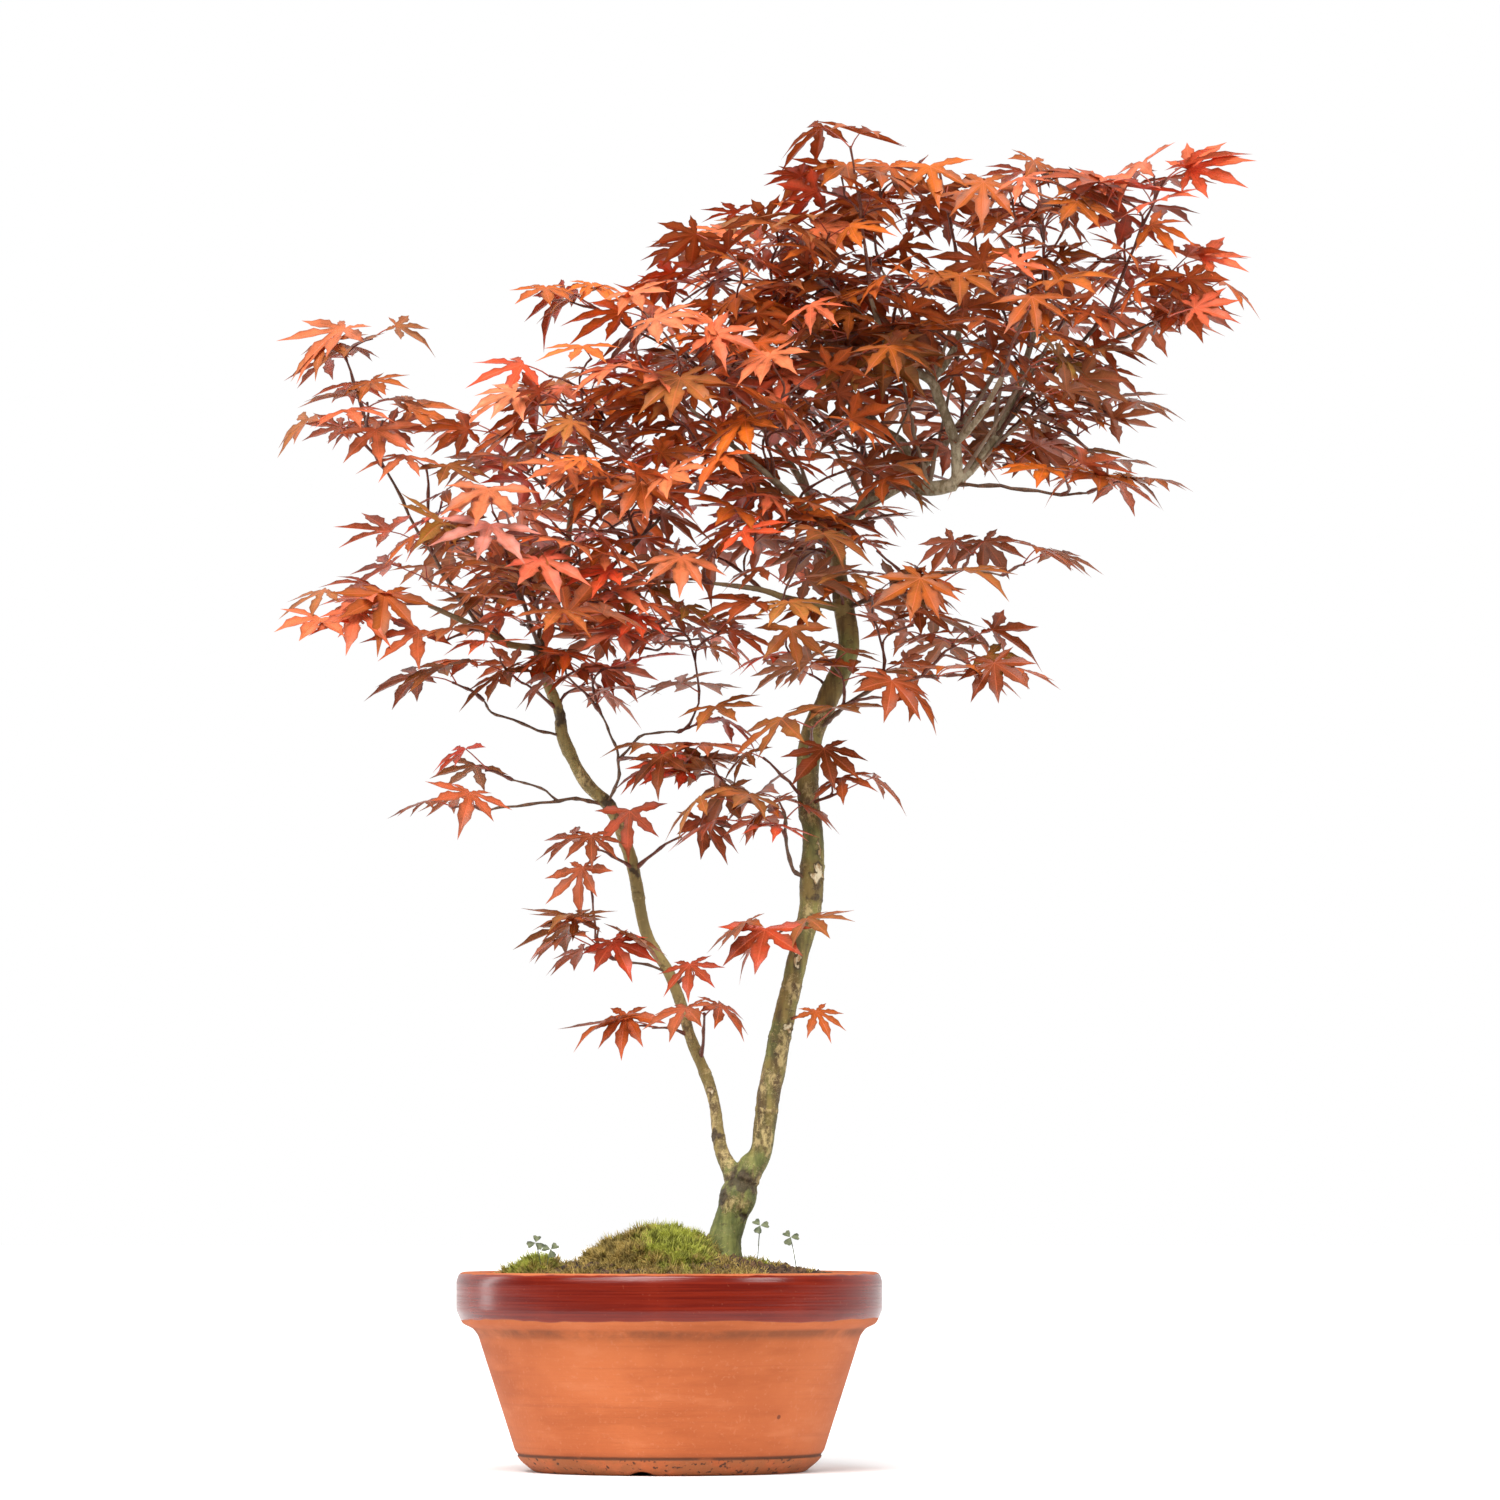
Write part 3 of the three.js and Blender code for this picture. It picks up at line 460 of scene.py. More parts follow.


# dark, pale and tip colours of moss; the tip colour is partly the tips' own and partly a painted highlight
mossTones = {
    "fresh": ((84, 92, 16), (168, 172, 48), (216, 218, 104)),
    "dry": ((112, 82, 38), (184, 152, 80), (208, 184, 108)),
}
ground = {
    "edge": 112,  # how high the soil is at the rim
    "rim": 116,
    "rise": 15,
    "hummock": 8,
    "hummockX": -3,
    "hummockSpread": 25,
    "sides": [(2, 12.3), (79.7, 12.3), (85.3, 17), (104.5, 79), (109.5, 96)],
    "topRadius": 113,
    "grown": 112,  # how far from the middle moss and crumbs lie
    "around": 168,
    "rings": 44,
    "lumps": 1.5,
    "patch": 26,
    # the middle and reach of each place where moss stays fresh
    "fresh": [(3, -24, 21, 44), (-82, -22, 15, 15), (50, -14, 12, 12)],
    # how many copies grow on each square millimetre, and how they differ
    "crumbs": {"Density": 0.075, "Seed": 3, "Smallest": 0.9, "Largest": 3.1, "Tilt": 1.5},
    "dryMoss": {"Density": 0.1, "Seed": 8, "Smallest": 0.8, "Largest": 1.9, "Tilt": 0.6},
    "greenMoss": {"Density": 0.24, "Seed": 21, "Smallest": 0.7, "Largest": 1.9, "Tilt": 0.45},
    # blades in a tuft, their length, spread and half width
    "wisp": (6, 2.4, 1.3, 0.22),
    "tuft": (10, 3.2, 1.1, 0.26),
}


def soilLevel(x, y):
    share = min(math.hypot(x, y) / ground["rim"], 1)
    away = ((x - ground["hummockX"]) ** 2 + y ** 2) / (2 * ground["hummockSpread"] ** 2)
    return ground["edge"] + ground["rise"] * (1 - share ** 2) + ground["hummock"] * math.exp(-away)


def dryness(x, y):
    # moss is fresh in its cushions and at the trunk's foot, and dry elsewhere
    fresh = max(math.exp(-((x - left) / wide) ** 2 - ((y - near) / deep) ** 2)
                for left, near, wide, deep in ground["fresh"])
    return 0.9 - 0.95 * fresh


def earthMaterial():
    material, place = startMaterial("damp soil")
    fine = clouds(place, 700)
    colour = washes(
        blend(between(clouds(place, 60, 4), 0.35, 0.65), (40, 26, 16), (78, 54, 32)),
        (between(fine, 0.5, 0.66), 0.6, (112, 82, 50)),
        (between(clouds(place, 32, 4), 0.5, 0.62), 0.55, (84, 84, 32)),
    )
    return surfaced(material, colour, {"Roughness": 0.92, "Normal": relief(fine, 0.0008)})


def crumbMaterial():
    material, place = startMaterial("baked clay crumbs")
    colour = washes(blend(reading(place, "tone"), (34, 22, 15), (88, 60, 36)),
                    (between(clouds(place, 500), 0.5, 0.65), 0.5, (116, 86, 54)))
    return surfaced(material, colour, {"Roughness": 0.9})


def tuftMaterial(name):
    # each tuft has its own tone, is paler towards its tips, partly as a painted highlight, and dries out in
    # patches; painted shade darkens the hollows between tufts
    material, place = startMaterial(name)
    tone, tall = reading(place, "tone"), reading(place, "height")
    tipped = [washes(blend(tone, dark, pale), (tall, 0.75, tip)) for dark, pale, tip in mossTones.values()]
    patch = plus(reading(place, "dry"), swing(clouds(place, 95, 5, 0.65), 2.2))
    # painted shade: dark clouds stand for the shade in the hollows between tufts
    shadeInHollows = between(clouds(place, 150, 4), 0.54, 0.4)
    colour = washes(blend(between(patch, 0.3, 0.7), *tipped), (shadeInHollows, 0.62, (44, 40, 12)))
    return surfaced(material, colour, {"Roughness": 0.7, "Specular IOR Level": 0.25}, 0.25)


def tuftPattern(name, seed, blades, length, spread, width):
    # a tuft of thin three-sided blades that lean outwards
    draw = drawsFrom(seed)
    corners, faces = [], []
    for blade in range(blades):
        turn = 2 * math.pi * (blade + 0.6 * draw()) / blades
        lean = spread * (0.3 + 0.9 * draw())
        tall = length * (0.6 + 0.6 * draw())
        out = Vector((math.cos(turn), math.sin(turn), 0))
        side = Vector((-out.y, out.x, 0))
        foot = out * 0.25 * length * draw()
        back = foot + out * width * 1.6 - Vector((0, 0, 0.1 * tall))
        tip = foot + out * lean * tall + Vector((0, 0, tall))
        join(corners, faces, [foot + side * width, foot - side * width, back, tip],
             [(0, 1, 3), (1, 2, 3), (2, 0, 3), (0, 2, 1)])
    piece = meshPiece(name, [corner * mm for corner in corners], faces, False)
    setValues(piece, "height", [0, 0, 0, 1] * blades)
    return piece


def crumbPattern(name, seed):
    # a lump of baked clay, a ball of twenty faces pushed out of shape
    draw = drawsFrom(seed)
    corners, faces = [Vector((0, 0, -0.8))], []
    for ring, (level, radius) in enumerate(((-0.4, 0.8), (0.35, 0.9))):
        for side in range(5):
            turn = 2 * math.pi * (side + 0.5 * ring) / 5
            reach = radius * (0.75 + 0.5 * draw())
            corners.append(Vector((reach * math.cos(turn), reach * math.sin(turn), level + 0.3 * draw())))
    corners.append(Vector((0.1, -0.1, 0.85)))
    for side in range(5):
        ahead = (side + 1) % 5
        faces += [(0, 1 + ahead, 1 + side), (1 + side, 1 + ahead, 6 + side),
                  (1 + ahead, 6 + ahead, 6 + side), (6 + side, 6 + ahead, 11)]
    return meshPiece(name, [corner * mm for corner in corners], faces, False)


def scatterTree():
    # copies patterns over the ground, each turned, sized and toned by chance
    given = startTree("scatter on the ground", Patterns="Collection", Finish="Material", Density="Float",
                      Seed="Int", Smallest="Float", Largest="Float", Tilt="Float")
    base = given["Geometry"]

    def chance(kind, low, high, seed):
        first, output = {"FLOAT_VECTOR": (0, 0), "FLOAT": (2, 1)}[kind]
        sockets = {first: low, first + 1: high, "Seed": seed}
        return addNode(base, "FunctionNodeRandomValue", sockets, output, data_type=kind)

    points = addNode(base, "GeometryNodeDistributePointsOnFaces", {
        "Mesh": base, "Density": times(stored(base, "cover"), given["Density"]), "Seed": given["Seed"],
    })
    toned = addNode(base, "GeometryNodeStoreNamedAttribute", {
        "Geometry": points, "Name": "tone", "Value": chance("FLOAT", 0.0, 1.0, 5),
    }, data_type="FLOAT", domain="POINT")
    lean = chance("FLOAT_VECTOR", (-1, -1, -3.14), (1, 1, 3.14), 9)
    tilt = addNode(base, "ShaderNodeCombineXYZ", {"X": given["Tilt"], "Y": given["Tilt"], "Z": 1.0})
    leaning = addNode(base, "ShaderNodeVectorMath", {0: lean, 1: tilt}, operation="MULTIPLY")
    upright = points.node.outputs["Rotation"]
    turn = addNode(base, "FunctionNodeRotateRotation", {"Rotation": upright, "Rotate By": leaning},
                   rotation_space="LOCAL")
    size = chance("FLOAT", given["Smallest"], given["Largest"], 13)
    return endTree(copiesAt(toned, given, {"Rotation": turn, "Scale": size}), given)


def scatterOn(piece, tree, patterns, finish, growth):
    collection = gather(piece.name, patterns)
    sizes = {**growth, "Density": growth["Density"] / mm ** 2}
    grow(piece, tree, {"Patterns": collection, "Finish": finish, **sizes})
    discard(collection)


def setGrowth(piece, cover):
    # how much grows at each corner, and how dry it is there
    places = [(vertex.co - axis) / mm for vertex in piece.data.vertices]
    setValues(piece, "cover", [cover(index, *place) for index, place in enumerate(places)])
    setValues(piece, "dry", [dryness(x, y) for x, y, z in places])


def makeGround(scatter):
    # the bed of soil fills the pot and is rough on top, where crumbs and dry moss lie
    def placeOf(radius, level, turn):
        x, y = radius * math.cos(turn), radius * math.sin(turn)
        if level is None:
            rough = noise.noise((x / 9, y / 9, 3.1)) + 0.5 * noise.noise((x / 3.2, y / 3.2, 7.7))
            level = soilLevel(x, y) + ground["lumps"] * rough - 1
        return spot(x, y, level)

    def patchy(x, y):
        return max(0, min(1, 0.5 + 1.8 * noise.noise((x / ground["patch"], y / ground["patch"], 0.4))))

    def crumbly(x, y):
        return 1 - 0.75 * patchy(x, y) if x > 20 or y > 30 else 0.35 * (1 - patchy(x, y))

    def mossy(x, y):
        return 0.3 * patchy(x, y) if x > 56 else 0.35 + 0.65 * patchy(x, y)

    rings = ground["rings"]
    top = [(ground["topRadius"] * (1 - (ring / rings) ** 1.15), None) for ring in range(rings)]
    soil = ringed("soil_bed", ground["sides"] + top, ground["around"], placeOf)
    crumbs = [crumbPattern(f"crumb{number}", 40 + number) for number in range(5)]
    wisps = [tuftPattern(f"wisp{number}", 60 + number, *ground["wisp"]) for number in range(4)]
    for name, share, patterns, finish, growth, slot in (
            ("soil_crumbs", crumbly, crumbs, crumbMaterial(), "crumbs", "potting_soil"),
            ("dry_moss", mossy, wisps, tuftMaterial("dry moss"), "dryMoss", "moss")):

        def cover(index, x, y, z):
            onTop = math.hypot(x, y) < ground["grown"] and abs(z - soilLevel(x, y)) < 6
            return share(x, y) if onTop else 0

        piece = copyOf(soil, name)
        setGrowth(piece, cover)
        scatterOn(piece, scatter, patterns, finish, ground[growth])
        settle(piece, slot)
    soil.data.materials.append(earthMaterial())
    settle(soil, "potting_soil", "soil")


# each patch of moss: its middle, its reach to the side and to the front, and its thickness
mossPatches = {"moss_cushion": (-8, -14, 38, 46, 7.6), "moss_tuft": (-82, -22, 15, 18, 3.6)}
mossShape = {"around": 96, "rings": 30, "bump": 5, "depth": 3}


def makeMoss(scatter):
    finish = tuftMaterial("green moss")
    around, rings = mossShape["around"], mossShape["rings"]
    for name, (left, near, wide, deep, thick) in mossPatches.items():

        def placeOf(share, lift, turn):
            edge = 1 + 0.09 * math.sin(3 * turn + left) + 0.06 * math.sin(5 * turn)
            x = left + wide * share * edge * math.cos(turn)
            y = near + deep * share * edge * math.sin(turn)
            bump = noise.noise((x / 6, y / 6, 1.3)) + 0.6 * noise.noise((x / 2.6, y / 2.6, 4))
            return spot(x, y, soilLevel(x, y) + lift + (mossShape["bump"] * bump if lift > 0 else 0))

        # an underside of two rings, then rings that close over the top
        rows = [(1 / rings, -mossShape["depth"]), (1, -mossShape["depth"])]
        rows += [(ring / rings, thick * (1 - (ring / rings) ** 2) + 0.01) for ring in range(rings, 0, -1)]
        base = ringed(name + "_bed", rows, around, placeOf)
        setGrowth(base, lambda index, x, y, z: float(index >= 2 * around))
        tufts = copyOf(base, name + "_tufts")
        patterns = [tuftPattern(f"tuft{number}", 80 + number, *ground["tuft"]) for number in range(5)]
        scatterOn(tufts, scatter, patterns, finish, ground["greenMoss"])
        base.data.materials.append(finish)
        for piece in (base, tufts):
            settle(piece, "moss", name)


# each clover seedling: its foot, and the lean and rise of its stems
seedlings = {
    "left": (-74, -38, [(-5, 0, 17), (4, -3, 13)]),
    "middle": (52, -14, [(2, -2, 22)]),
    "right": (77, -10, [(-5, -2, 19)]),
}
clover = {
    "stem": 0.28,
    "rooted": 8,
    "leaflet": 5.4,
    "thickness": 0.25,
    "fold": 0.3,
    "lean": 58,  # degrees to the front
    "edge": [(0.1, 0.05), (0.5, 0.36), (0.82, 0.46), (1, 0.26)],
}


def cloverMaterial():
    material, place = startMaterial("clover leaf")
    colour = washes(blend(between(clouds(place, 260), 0.4, 0.62), (56, 68, 40), (112, 118, 86)),
                    (reading(place, "rib"), 0.5, (140, 146, 106)))
    return surfaced(material, colour, {"Roughness": 0.6}, 0.3)


def cloverLeaf(top, turned):
    # three heart-shaped leaflets, folded along their middles; the leaf leans forward
    lean = Matrix.Rotation(math.radians(clover["lean"]), 3, "X")
    size, thick = clover["leaflet"], clover["thickness"]
    corners, faces, ribs = [], [], []
    for leaflet in range(3):
        turn = math.radians(turned + 120 * leaflet)
        ahead = lean @ Vector((math.cos(turn), math.sin(turn), -0.2))
        side = lean @ Vector((-math.sin(turn), math.cos(turn), 0))
        up = lean @ Vector((0, 0, 1))
        for lift in (0.5, -0.5):
            first = len(corners)
            corners += [top + (ahead * share * size + up * lift * thick) * mm for share in (0.1, 0.5, 0.9)]
            for hand in (1, -1):
                for reach, wide in clover["edge"]:
                    bent = ahead * reach + side * wide * hand + up * clover["fold"] * wide
                    corners.append(top + (bent * size + up * lift * thick * 0.4) * mm)
            ribs += [1] * 3 + [0] * 8
            for edge in (3, 7):
                for loop in ((0, edge, edge + 1, 1), (1, edge + 1, edge + 2, 2), (2, edge + 2, edge + 3)):
                    numbers = tuple(first + number for number in loop)
                    faces.append(numbers if (edge == 3) == (lift < 0) else tuple(reversed(numbers)))
        upper, lower = len(corners) - 22, len(corners) - 11
        rim = [0, 3, 4, 5, 6, 2, 10, 9, 8, 7]
        for corner, after in zip(rim, rim[1:] + rim[:1]):
            faces.append((upper + corner, upper + after, lower + after, lower + corner))
    return corners, faces, ribs


def smoothRoute(points, steps):
    # a curve through the points, with a few steps between each two
    points = [Vector(point) for point in points]
    line = []
    for index in range(len(points) - 1):
        before = points[max(index - 1, 0)]
        start, end = points[index], points[index + 1]
        after = points[min(index + 2, len(points) - 1)]
        square = 2 * before - 5 * start + 4 * end - after
        cube = 3 * start - before - 3 * end + after
        for share in [step / steps for step in range(steps)]:
            line.append(0.5 * (2 * start + (end - before) * share + square * share ** 2 + cube * share ** 3))
    return line + [points[-1]]


def tubeOf(line, radii, sides):
    # corners and faces of a closed round tube along a line of places
    corners = []
    last = len(line) - 1
    across = Vector((0.3, 1, 0.1))
    for index, middle in enumerate(line):
        heading = (line[min(index + 1, last)] - line[max(index - 1, 0)]).normalized()
        across = (across - heading * across.dot(heading)).normalized()
        beside = heading.cross(across)
        for side in range(sides):
            turn = 2 * math.pi * side / sides
            corners.append(middle + (across * math.cos(turn) + beside * math.sin(turn)) * radii[index])
    return corners, ringFaces(len(line), sides)


def makeSeedlings():
    finish = cloverMaterial()
    for side, (x, y, stems) in seedlings.items():
        corners, faces, ribs = [], [], []
        for leanX, leanY, rise in stems:
            level = soilLevel(x, y) + rise
            top = (x + leanX, y + leanY, level)
            bend = (x + leanX * 0.6, y + leanY * 0.6, level - rise * 0.45)
            route = smoothRoute([(x, y, soilLevel(x, y) - clover["rooted"]), bend, top], 4)
            stem = tubeOf([spot(*point) for point in route], [clover["stem"] * mm] * len(route), 6)
            join(corners, faces, *stem)
            leafCorners, leafFaces, leafRibs = cloverLeaf(spot(*top), x + rise * 9)
            join(corners, faces, leafCorners, leafFaces)
            ribs += [0.4] * len(stem[0]) + leafRibs
        piece = meshPiece("clover_" + side, corners, faces, False)
        setValues(piece, "rib", ribs)
        piece.data.materials.append(finish)
        work = bmesh.new()
        work.from_mesh(piece.data)
        bmesh.ops.recalc_face_normals(work, faces=work.faces)
        work.to_mesh(piece.data)
        work.free()
        settle(piece, "clover", "seedling_" + side)


def makeNet():
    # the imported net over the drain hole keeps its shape
    material, place = startMaterial("drain net plastic")
    weave = clouds(place, 900, 2)
    surfaced(material, blend(weave, (34, 44, 36), (58, 70, 60)), {
        "Roughness": 0.55, "Normal": relief(weave, 0.0002),
    })
    net = frame["nodes"]["drain_net"]
    net.data.materials.clear()
    net.data.materials.append(material)
    print("drain_net: finished")


# Each branch: what it grows on, the number of that branch's point where it starts, whether it belongs
# to its leaves, and its own points as (x, y, z, radius).
branches = {
    "trunk": (None, 0, False, [(31, 0, 84, 8), (31, 0, 110, 12.5), (31.5, 0, 124, 12.2), (33, 0, 137, 10.4),
        (37, 0, 152, 9.5), (41, 0, 164, 11.4), (43, 0, 171, 9.5)]),
    "rightLeader": ("trunk", 5, False, [(48, -1, 180, 8.2), (54.8, -2, 191, 6.7), (58.8, -4, 221, 7),
        (64.2, -6, 250, 6.9), (68, -7, 268, 6.6), (73, -7, 290, 6.3), (77.8, -7, 312, 6.1),
        (83.4, -6, 331, 6.6), (85, -5, 354, 7.4), (85.8, -3, 381, 6.3), (83.4, 0, 396, 6.7),
        (82.8, 3, 424, 6.9), (86.4, 6, 443, 6.8), (94.8, 9, 462, 6.6), (106.8, 12, 491, 6.4),
        (104.8, 15, 516, 6.3), (102, 18, 540, 4.6), (103, 21, 564, 4.4), (118, 23, 581, 4.2),
        (141, 22, 594, 4.2)]),
    "leftLeader": ("trunk", 5, False, [(37.5, 1, 177, 5.6), (30.5, 4, 192, 4.1), (27, 8, 217, 3.5),
        (23, 11, 232, 3.6), (18, 14, 245, 3.5), (12, 17, 260, 3.6), (7, 19, 278, 3.5), (-1, 20, 298, 3.5),
        (-13.8, 22, 320, 3.5), (-18, 22, 337, 3.6), (-22, 22, 359, 4), (-30.6, 24, 387, 3.9),
        (-37.8, 26, 400, 4.3), (-51.6, 28, 413.6, 4.1), (-64.8, 26, 440, 4), (-67, 24, 455, 3.4),
        (-76.8, 22, 480.6, 3.6), (-79.2, 21, 494, 3.3)]),
    "lowRightLimb": ("rightLeader", 13, True, [(97, 0, 450, 2.1), (106, -6, 458, 1.8), (122, -14, 467, 1.5)]),
    "middleLimb": ("rightLeader", 16, False, [(91.8, 4, 519, 2.6), (73, -10, 520.5, 2.3),
        (54, -24, 525.6, 1.9), (26, -40, 528, 1.3)]),
    "sideLimb": ("rightLeader", 16, True, [(124, 4, 524, 2.2), (150, -8, 534, 1.6)]),
    "greyLimb": ("rightLeader", 17, False, [(95, 30, 556, 3.2), (87, 40, 582, 2.8), (70, 50, 612, 2.2),
        (48, 58, 640, 1.7), (30, 62, 664, 1.3)]),
    "frontLimb": ("rightLeader", 18, False, [(84, 2, 574, 2.7), (62, -20, 592, 2.2), (36, -38, 612, 1.7),
        (12, -50, 632, 1.3)]),
    "backLimb": ("rightLeader", 19, True, [(120, 48, 604, 2.6), (112, 76, 632, 2.1), (98, 98, 664, 1.5)]),
    "farLimb": ("rightLeader", 20, False, [(162, 52, 616, 2.6), (184, 80, 646, 2.1), (202, 98, 676, 1.5)]),
    "archLimb": ("rightLeader", 20, False, [(142, 26, 614, 4), (129.4, 30, 626, 3.2), (112, 34, 640, 2.6),
        (96, 40, 668, 2.1), (82, 46, 700, 1.6)]),
    "elbow": ("rightLeader", 20, False, [(156, 16, 590, 4.8), (172, 11, 592, 4.2)]),
    "crownLimb": ("elbow", 2, False, [(171.6, 6, 616, 3.4), (161.4, 0, 643, 3.2), (157, -4, 653, 3),
        (144.6, -10, 659, 2.4), (132, -18, 668, 2.1), (120, -32, 700, 1.5)]),
    "crownFork": ("crownLimb", 3, False, [(168, 4, 668, 2.4), (174, 10, 684, 2), (176, 18, 716, 1.5)]),
    "topLimb": ("elbow", 2, False, [(194.4, 16, 618, 3), (209.8, 22, 651, 2.4), (217.2, 28, 676, 2.1),
        (228, 38, 712, 1.5)]),
    "outerLimb": ("topLimb", 1, True, [(212, 10, 640, 2.1), (236, 2, 664, 1.8), (264, -8, 694, 1.4)]),
    "frontRightLimb": ("crownLimb", 1, False, [(186, -28, 630, 2.2), (198, -58, 650, 1.6)]),
    "leftLimb": ("leftLeader", 18, False, [(-97.8, 18, 496, 2.3), (-112.4, 14, 504, 2.1),
        (-146, 8, 519, 1.5)]),
    "upLimb": ("leftLeader", 18, False, [(-73, 26, 508, 2.6), (-64, 34, 542, 2.2), (-60, 40, 582, 1.8),
        (-52, 44, 614, 1.3)]),
    "leftFrontLimb": ("leftLeader", 18, True, [(-86, 0, 512, 2.2), (-94, -30, 534, 1.7)]),
    "leftBackLimb": ("leftLeader", 18, True, [(-82, 54, 524, 2.2), (-94, 90, 554, 1.6)]),
    "innerLimb": ("upLimb", 1, True, [(-48, 14, 530, 1.9), (-20, 0, 556, 1.5), (4, -12, 580, 1.2)]),
    "lowLeft": ("leftLeader", 13, True, [(-52, 22, 402, 1.7), (-66, 16, 401.6, 1.5), (-98, 8, 397, 1.2),
        (-112, 2, 395, 1)]),
    "lowLeftTwig": ("lowLeft", 2, False, [(-82, 18, 410, 1.1), (-95, 22, 414, 0.9)]),
    "insideLeft": ("leftLeader", 13, True, [(-32.5, 16, 411, 1.5), (-31.4, 8, 426, 1.3), (-36, 4, 441, 1.1),
        (-42, 2, 455, 0.9)]),
    "insideTwig": ("insideLeft", 2, False, [(-14.7, 0, 440.4, 1.1), (4, -6, 441, 0.9)]),
    "leftPocket": ("leftLeader", 8, True, [(-16, 14, 303, 1.2), (-34, 6, 305.4, 0.9)]),
    "rightPocket": ("rightLeader", 9, True, [(74, -14, 358, 1.7), (69.6, -22, 376, 1.4),
        (68, -26, 391, 1.2), (54, -30, 396.5, 0.9)]),
    "leftBranch": ("leftLeader", 15, True, [(-80, 18, 444, 1.3), (-104, 8, 453, 1.1), (-112, 2, 461, 0.9)]),
    "lowRight": ("lowRightLimb", 3, False, [(150, -24, 473, 1.2), (165, -30, 473, 0.9)]),
    "sideBranch": ("sideLimb", 2, False, [(176, -18, 538, 1.3), (198, -26, 534, 0.9)]),
    "rightBranch": ("elbow", 2, True, [(198, -4, 589, 1.8), (234, -16, 583, 1.4), (250, -20, 584, 1)]),
    "tallLeft": ("leftLimb", 2, True, [(-130, 16, 528, 1.8), (-147, 14, 556, 1.5), (-171, 8, 600, 1.2),
        (-184, 6, 632, 0.9)]),
    "outerBranch": ("outerLimb", 2, False, [(268, 16, 680, 1.4), (300, 26, 694, 1)]),
    "crossBranch": ("greyLimb", 4, True, [(14, 40, 668, 1.3), (-24, 26, 688, 1)]),
}
# each shoot: its branch, the number of the point where it starts, its tip, how many leaves it has, their
# size, and how steeply they rise where that isn't usual
shoots = [
    ("leftLeader", 6, (-10, 4, 265), 1, 1.15), ("leftLeader", 5, (21, -4, 273), 2, 0.9),
    ("rightLeader", 5, (80, -22, 270), 1, 0.75), ("leftPocket", 2, (-46, -2, 311), 3, 0.95),
    ("rightLeader", 7, (60, -28, 317), 3, 1), ("leftLeader", 11, (6, 8, 380), 1, 1),
    ("leftLeader", 11, (-44, 4, 371), 2, 0.95), ("rightPocket", 4, (38, -38, 397), 3, 1),
    ("lowLeft", 4, (-130, -6, 396), 3, 0.9), ("lowLeftTwig", 2, (-112, 26, 420), 2, 0.85),
    ("insideLeft", 2, (-4, -22, 420), 2, 1), ("insideTwig", 2, (16, -10, 446), 2, 1),
    ("insideLeft", 4, (-54, 0, 467), 1, 0.95), ("rightLeader", 11, (56, -16, 425), 1, 0.85),
    ("rightLeader", 11, (104, -22, 404), 2, 0.95), ("rightLeader", 12, (86, -36, 442), 2, 1.25),
    ("leftBranch", 3, (-130, -6, 471), 2, 1.1), ("leftLeader", 16, (-90, 4, 472), 1, 1),
    ("lowRight", 2, (188, -38, 474), 2, 1), ("lowRight", 1, (172, 4, 494), 2, 1),
    ("lowRightLimb", 2, (132, -42, 458), 2, 1), ("sideBranch", 2, (212, -30, 540), 2, 0.95),
    ("sideBranch", 1, (182, 20, 550), 2, 1), ("sideLimb", 2, (162, -46, 524), 2, 1),
    ("middleLimb", 4, (-14, -56, 528), 3, 1.1), ("middleLimb", 3, (26, 4, 548), 2, 1),
    ("middleLimb", 2, (62, -50, 508), 2, 1.1), ("leftLimb", 3, (-186, -2, 514), 3, 1.1),
    ("leftLimb", 2, (-134, -24, 494), 2, 1.1), ("leftLimb", 1, (-150, 56, 538), 2, 1),
    ("tallLeft", 4, (-196, 4, 668), 4, 1), ("tallLeft", 3, (-194, -16, 624), 2, 1),
    ("tallLeft", 2, (-146, -4, 602), 2, 0.95), ("upLimb", 4, (-54, 48, 650), 2, 1.1),
    ("upLimb", 3, (-96, 50, 606), 2, 1.1), ("upLimb", 2, (-26, 74, 578), 2, 1),
    ("leftFrontLimb", 2, (-104, -72, 568), 3, 1.1), ("leftFrontLimb", 1, (-54, -52, 540), 2, 1),
    ("leftBackLimb", 2, (-104, 132, 588), 2, 1), ("leftBackLimb", 1, (-132, 84, 560), 2, 1),
    ("innerLimb", 3, (26, -22, 600), 2, 1), ("innerLimb", 2, (-30, -40, 582), 2, 1.1),
    ("greyLimb", 5, (12, 68, 694), 2, 1), ("greyLimb", 3, (52, 92, 630), 2, 1),
    ("crossBranch", 2, (-50, 16, 700), 2, 1), ("frontLimb", 4, (-14, -64, 652), 3, 1.1),
    ("frontLimb", 2, (56, -62, 620), 2, 1.1), ("backLimb", 3, (76, 124, 696), 2, 1),
    ("backLimb", 2, (146, 108, 652), 2, 1), ("farLimb", 3, (220, 118, 704), 2, 1),
    ("archLimb", 5, (56, 54, 752), 2, 1), ("archLimb", 3, (70, 4, 690), 2, 1),
    ("crownLimb", 6, (108, -46, 790), 4, 1.1, 14), ("crownLimb", 5, (136, -58, 700), 2, 1),
    ("crownFork", 3, (162, 14, 782), 3, 1), ("topLimb", 4, (224, 48, 784), 3, 1),
    ("topLimb", 3, (214, -20, 722), 2, 1), ("frontRightLimb", 2, (212, -100, 684), 3, 1),
    ("outerLimb", 3, (298, -22, 774), 3, 1.05, 38), ("outerBranch", 2, (318, 28, 706), 3, 0.95),
    ("rightBranch", 3, (270, -24, 590), 3, 0.95),
]
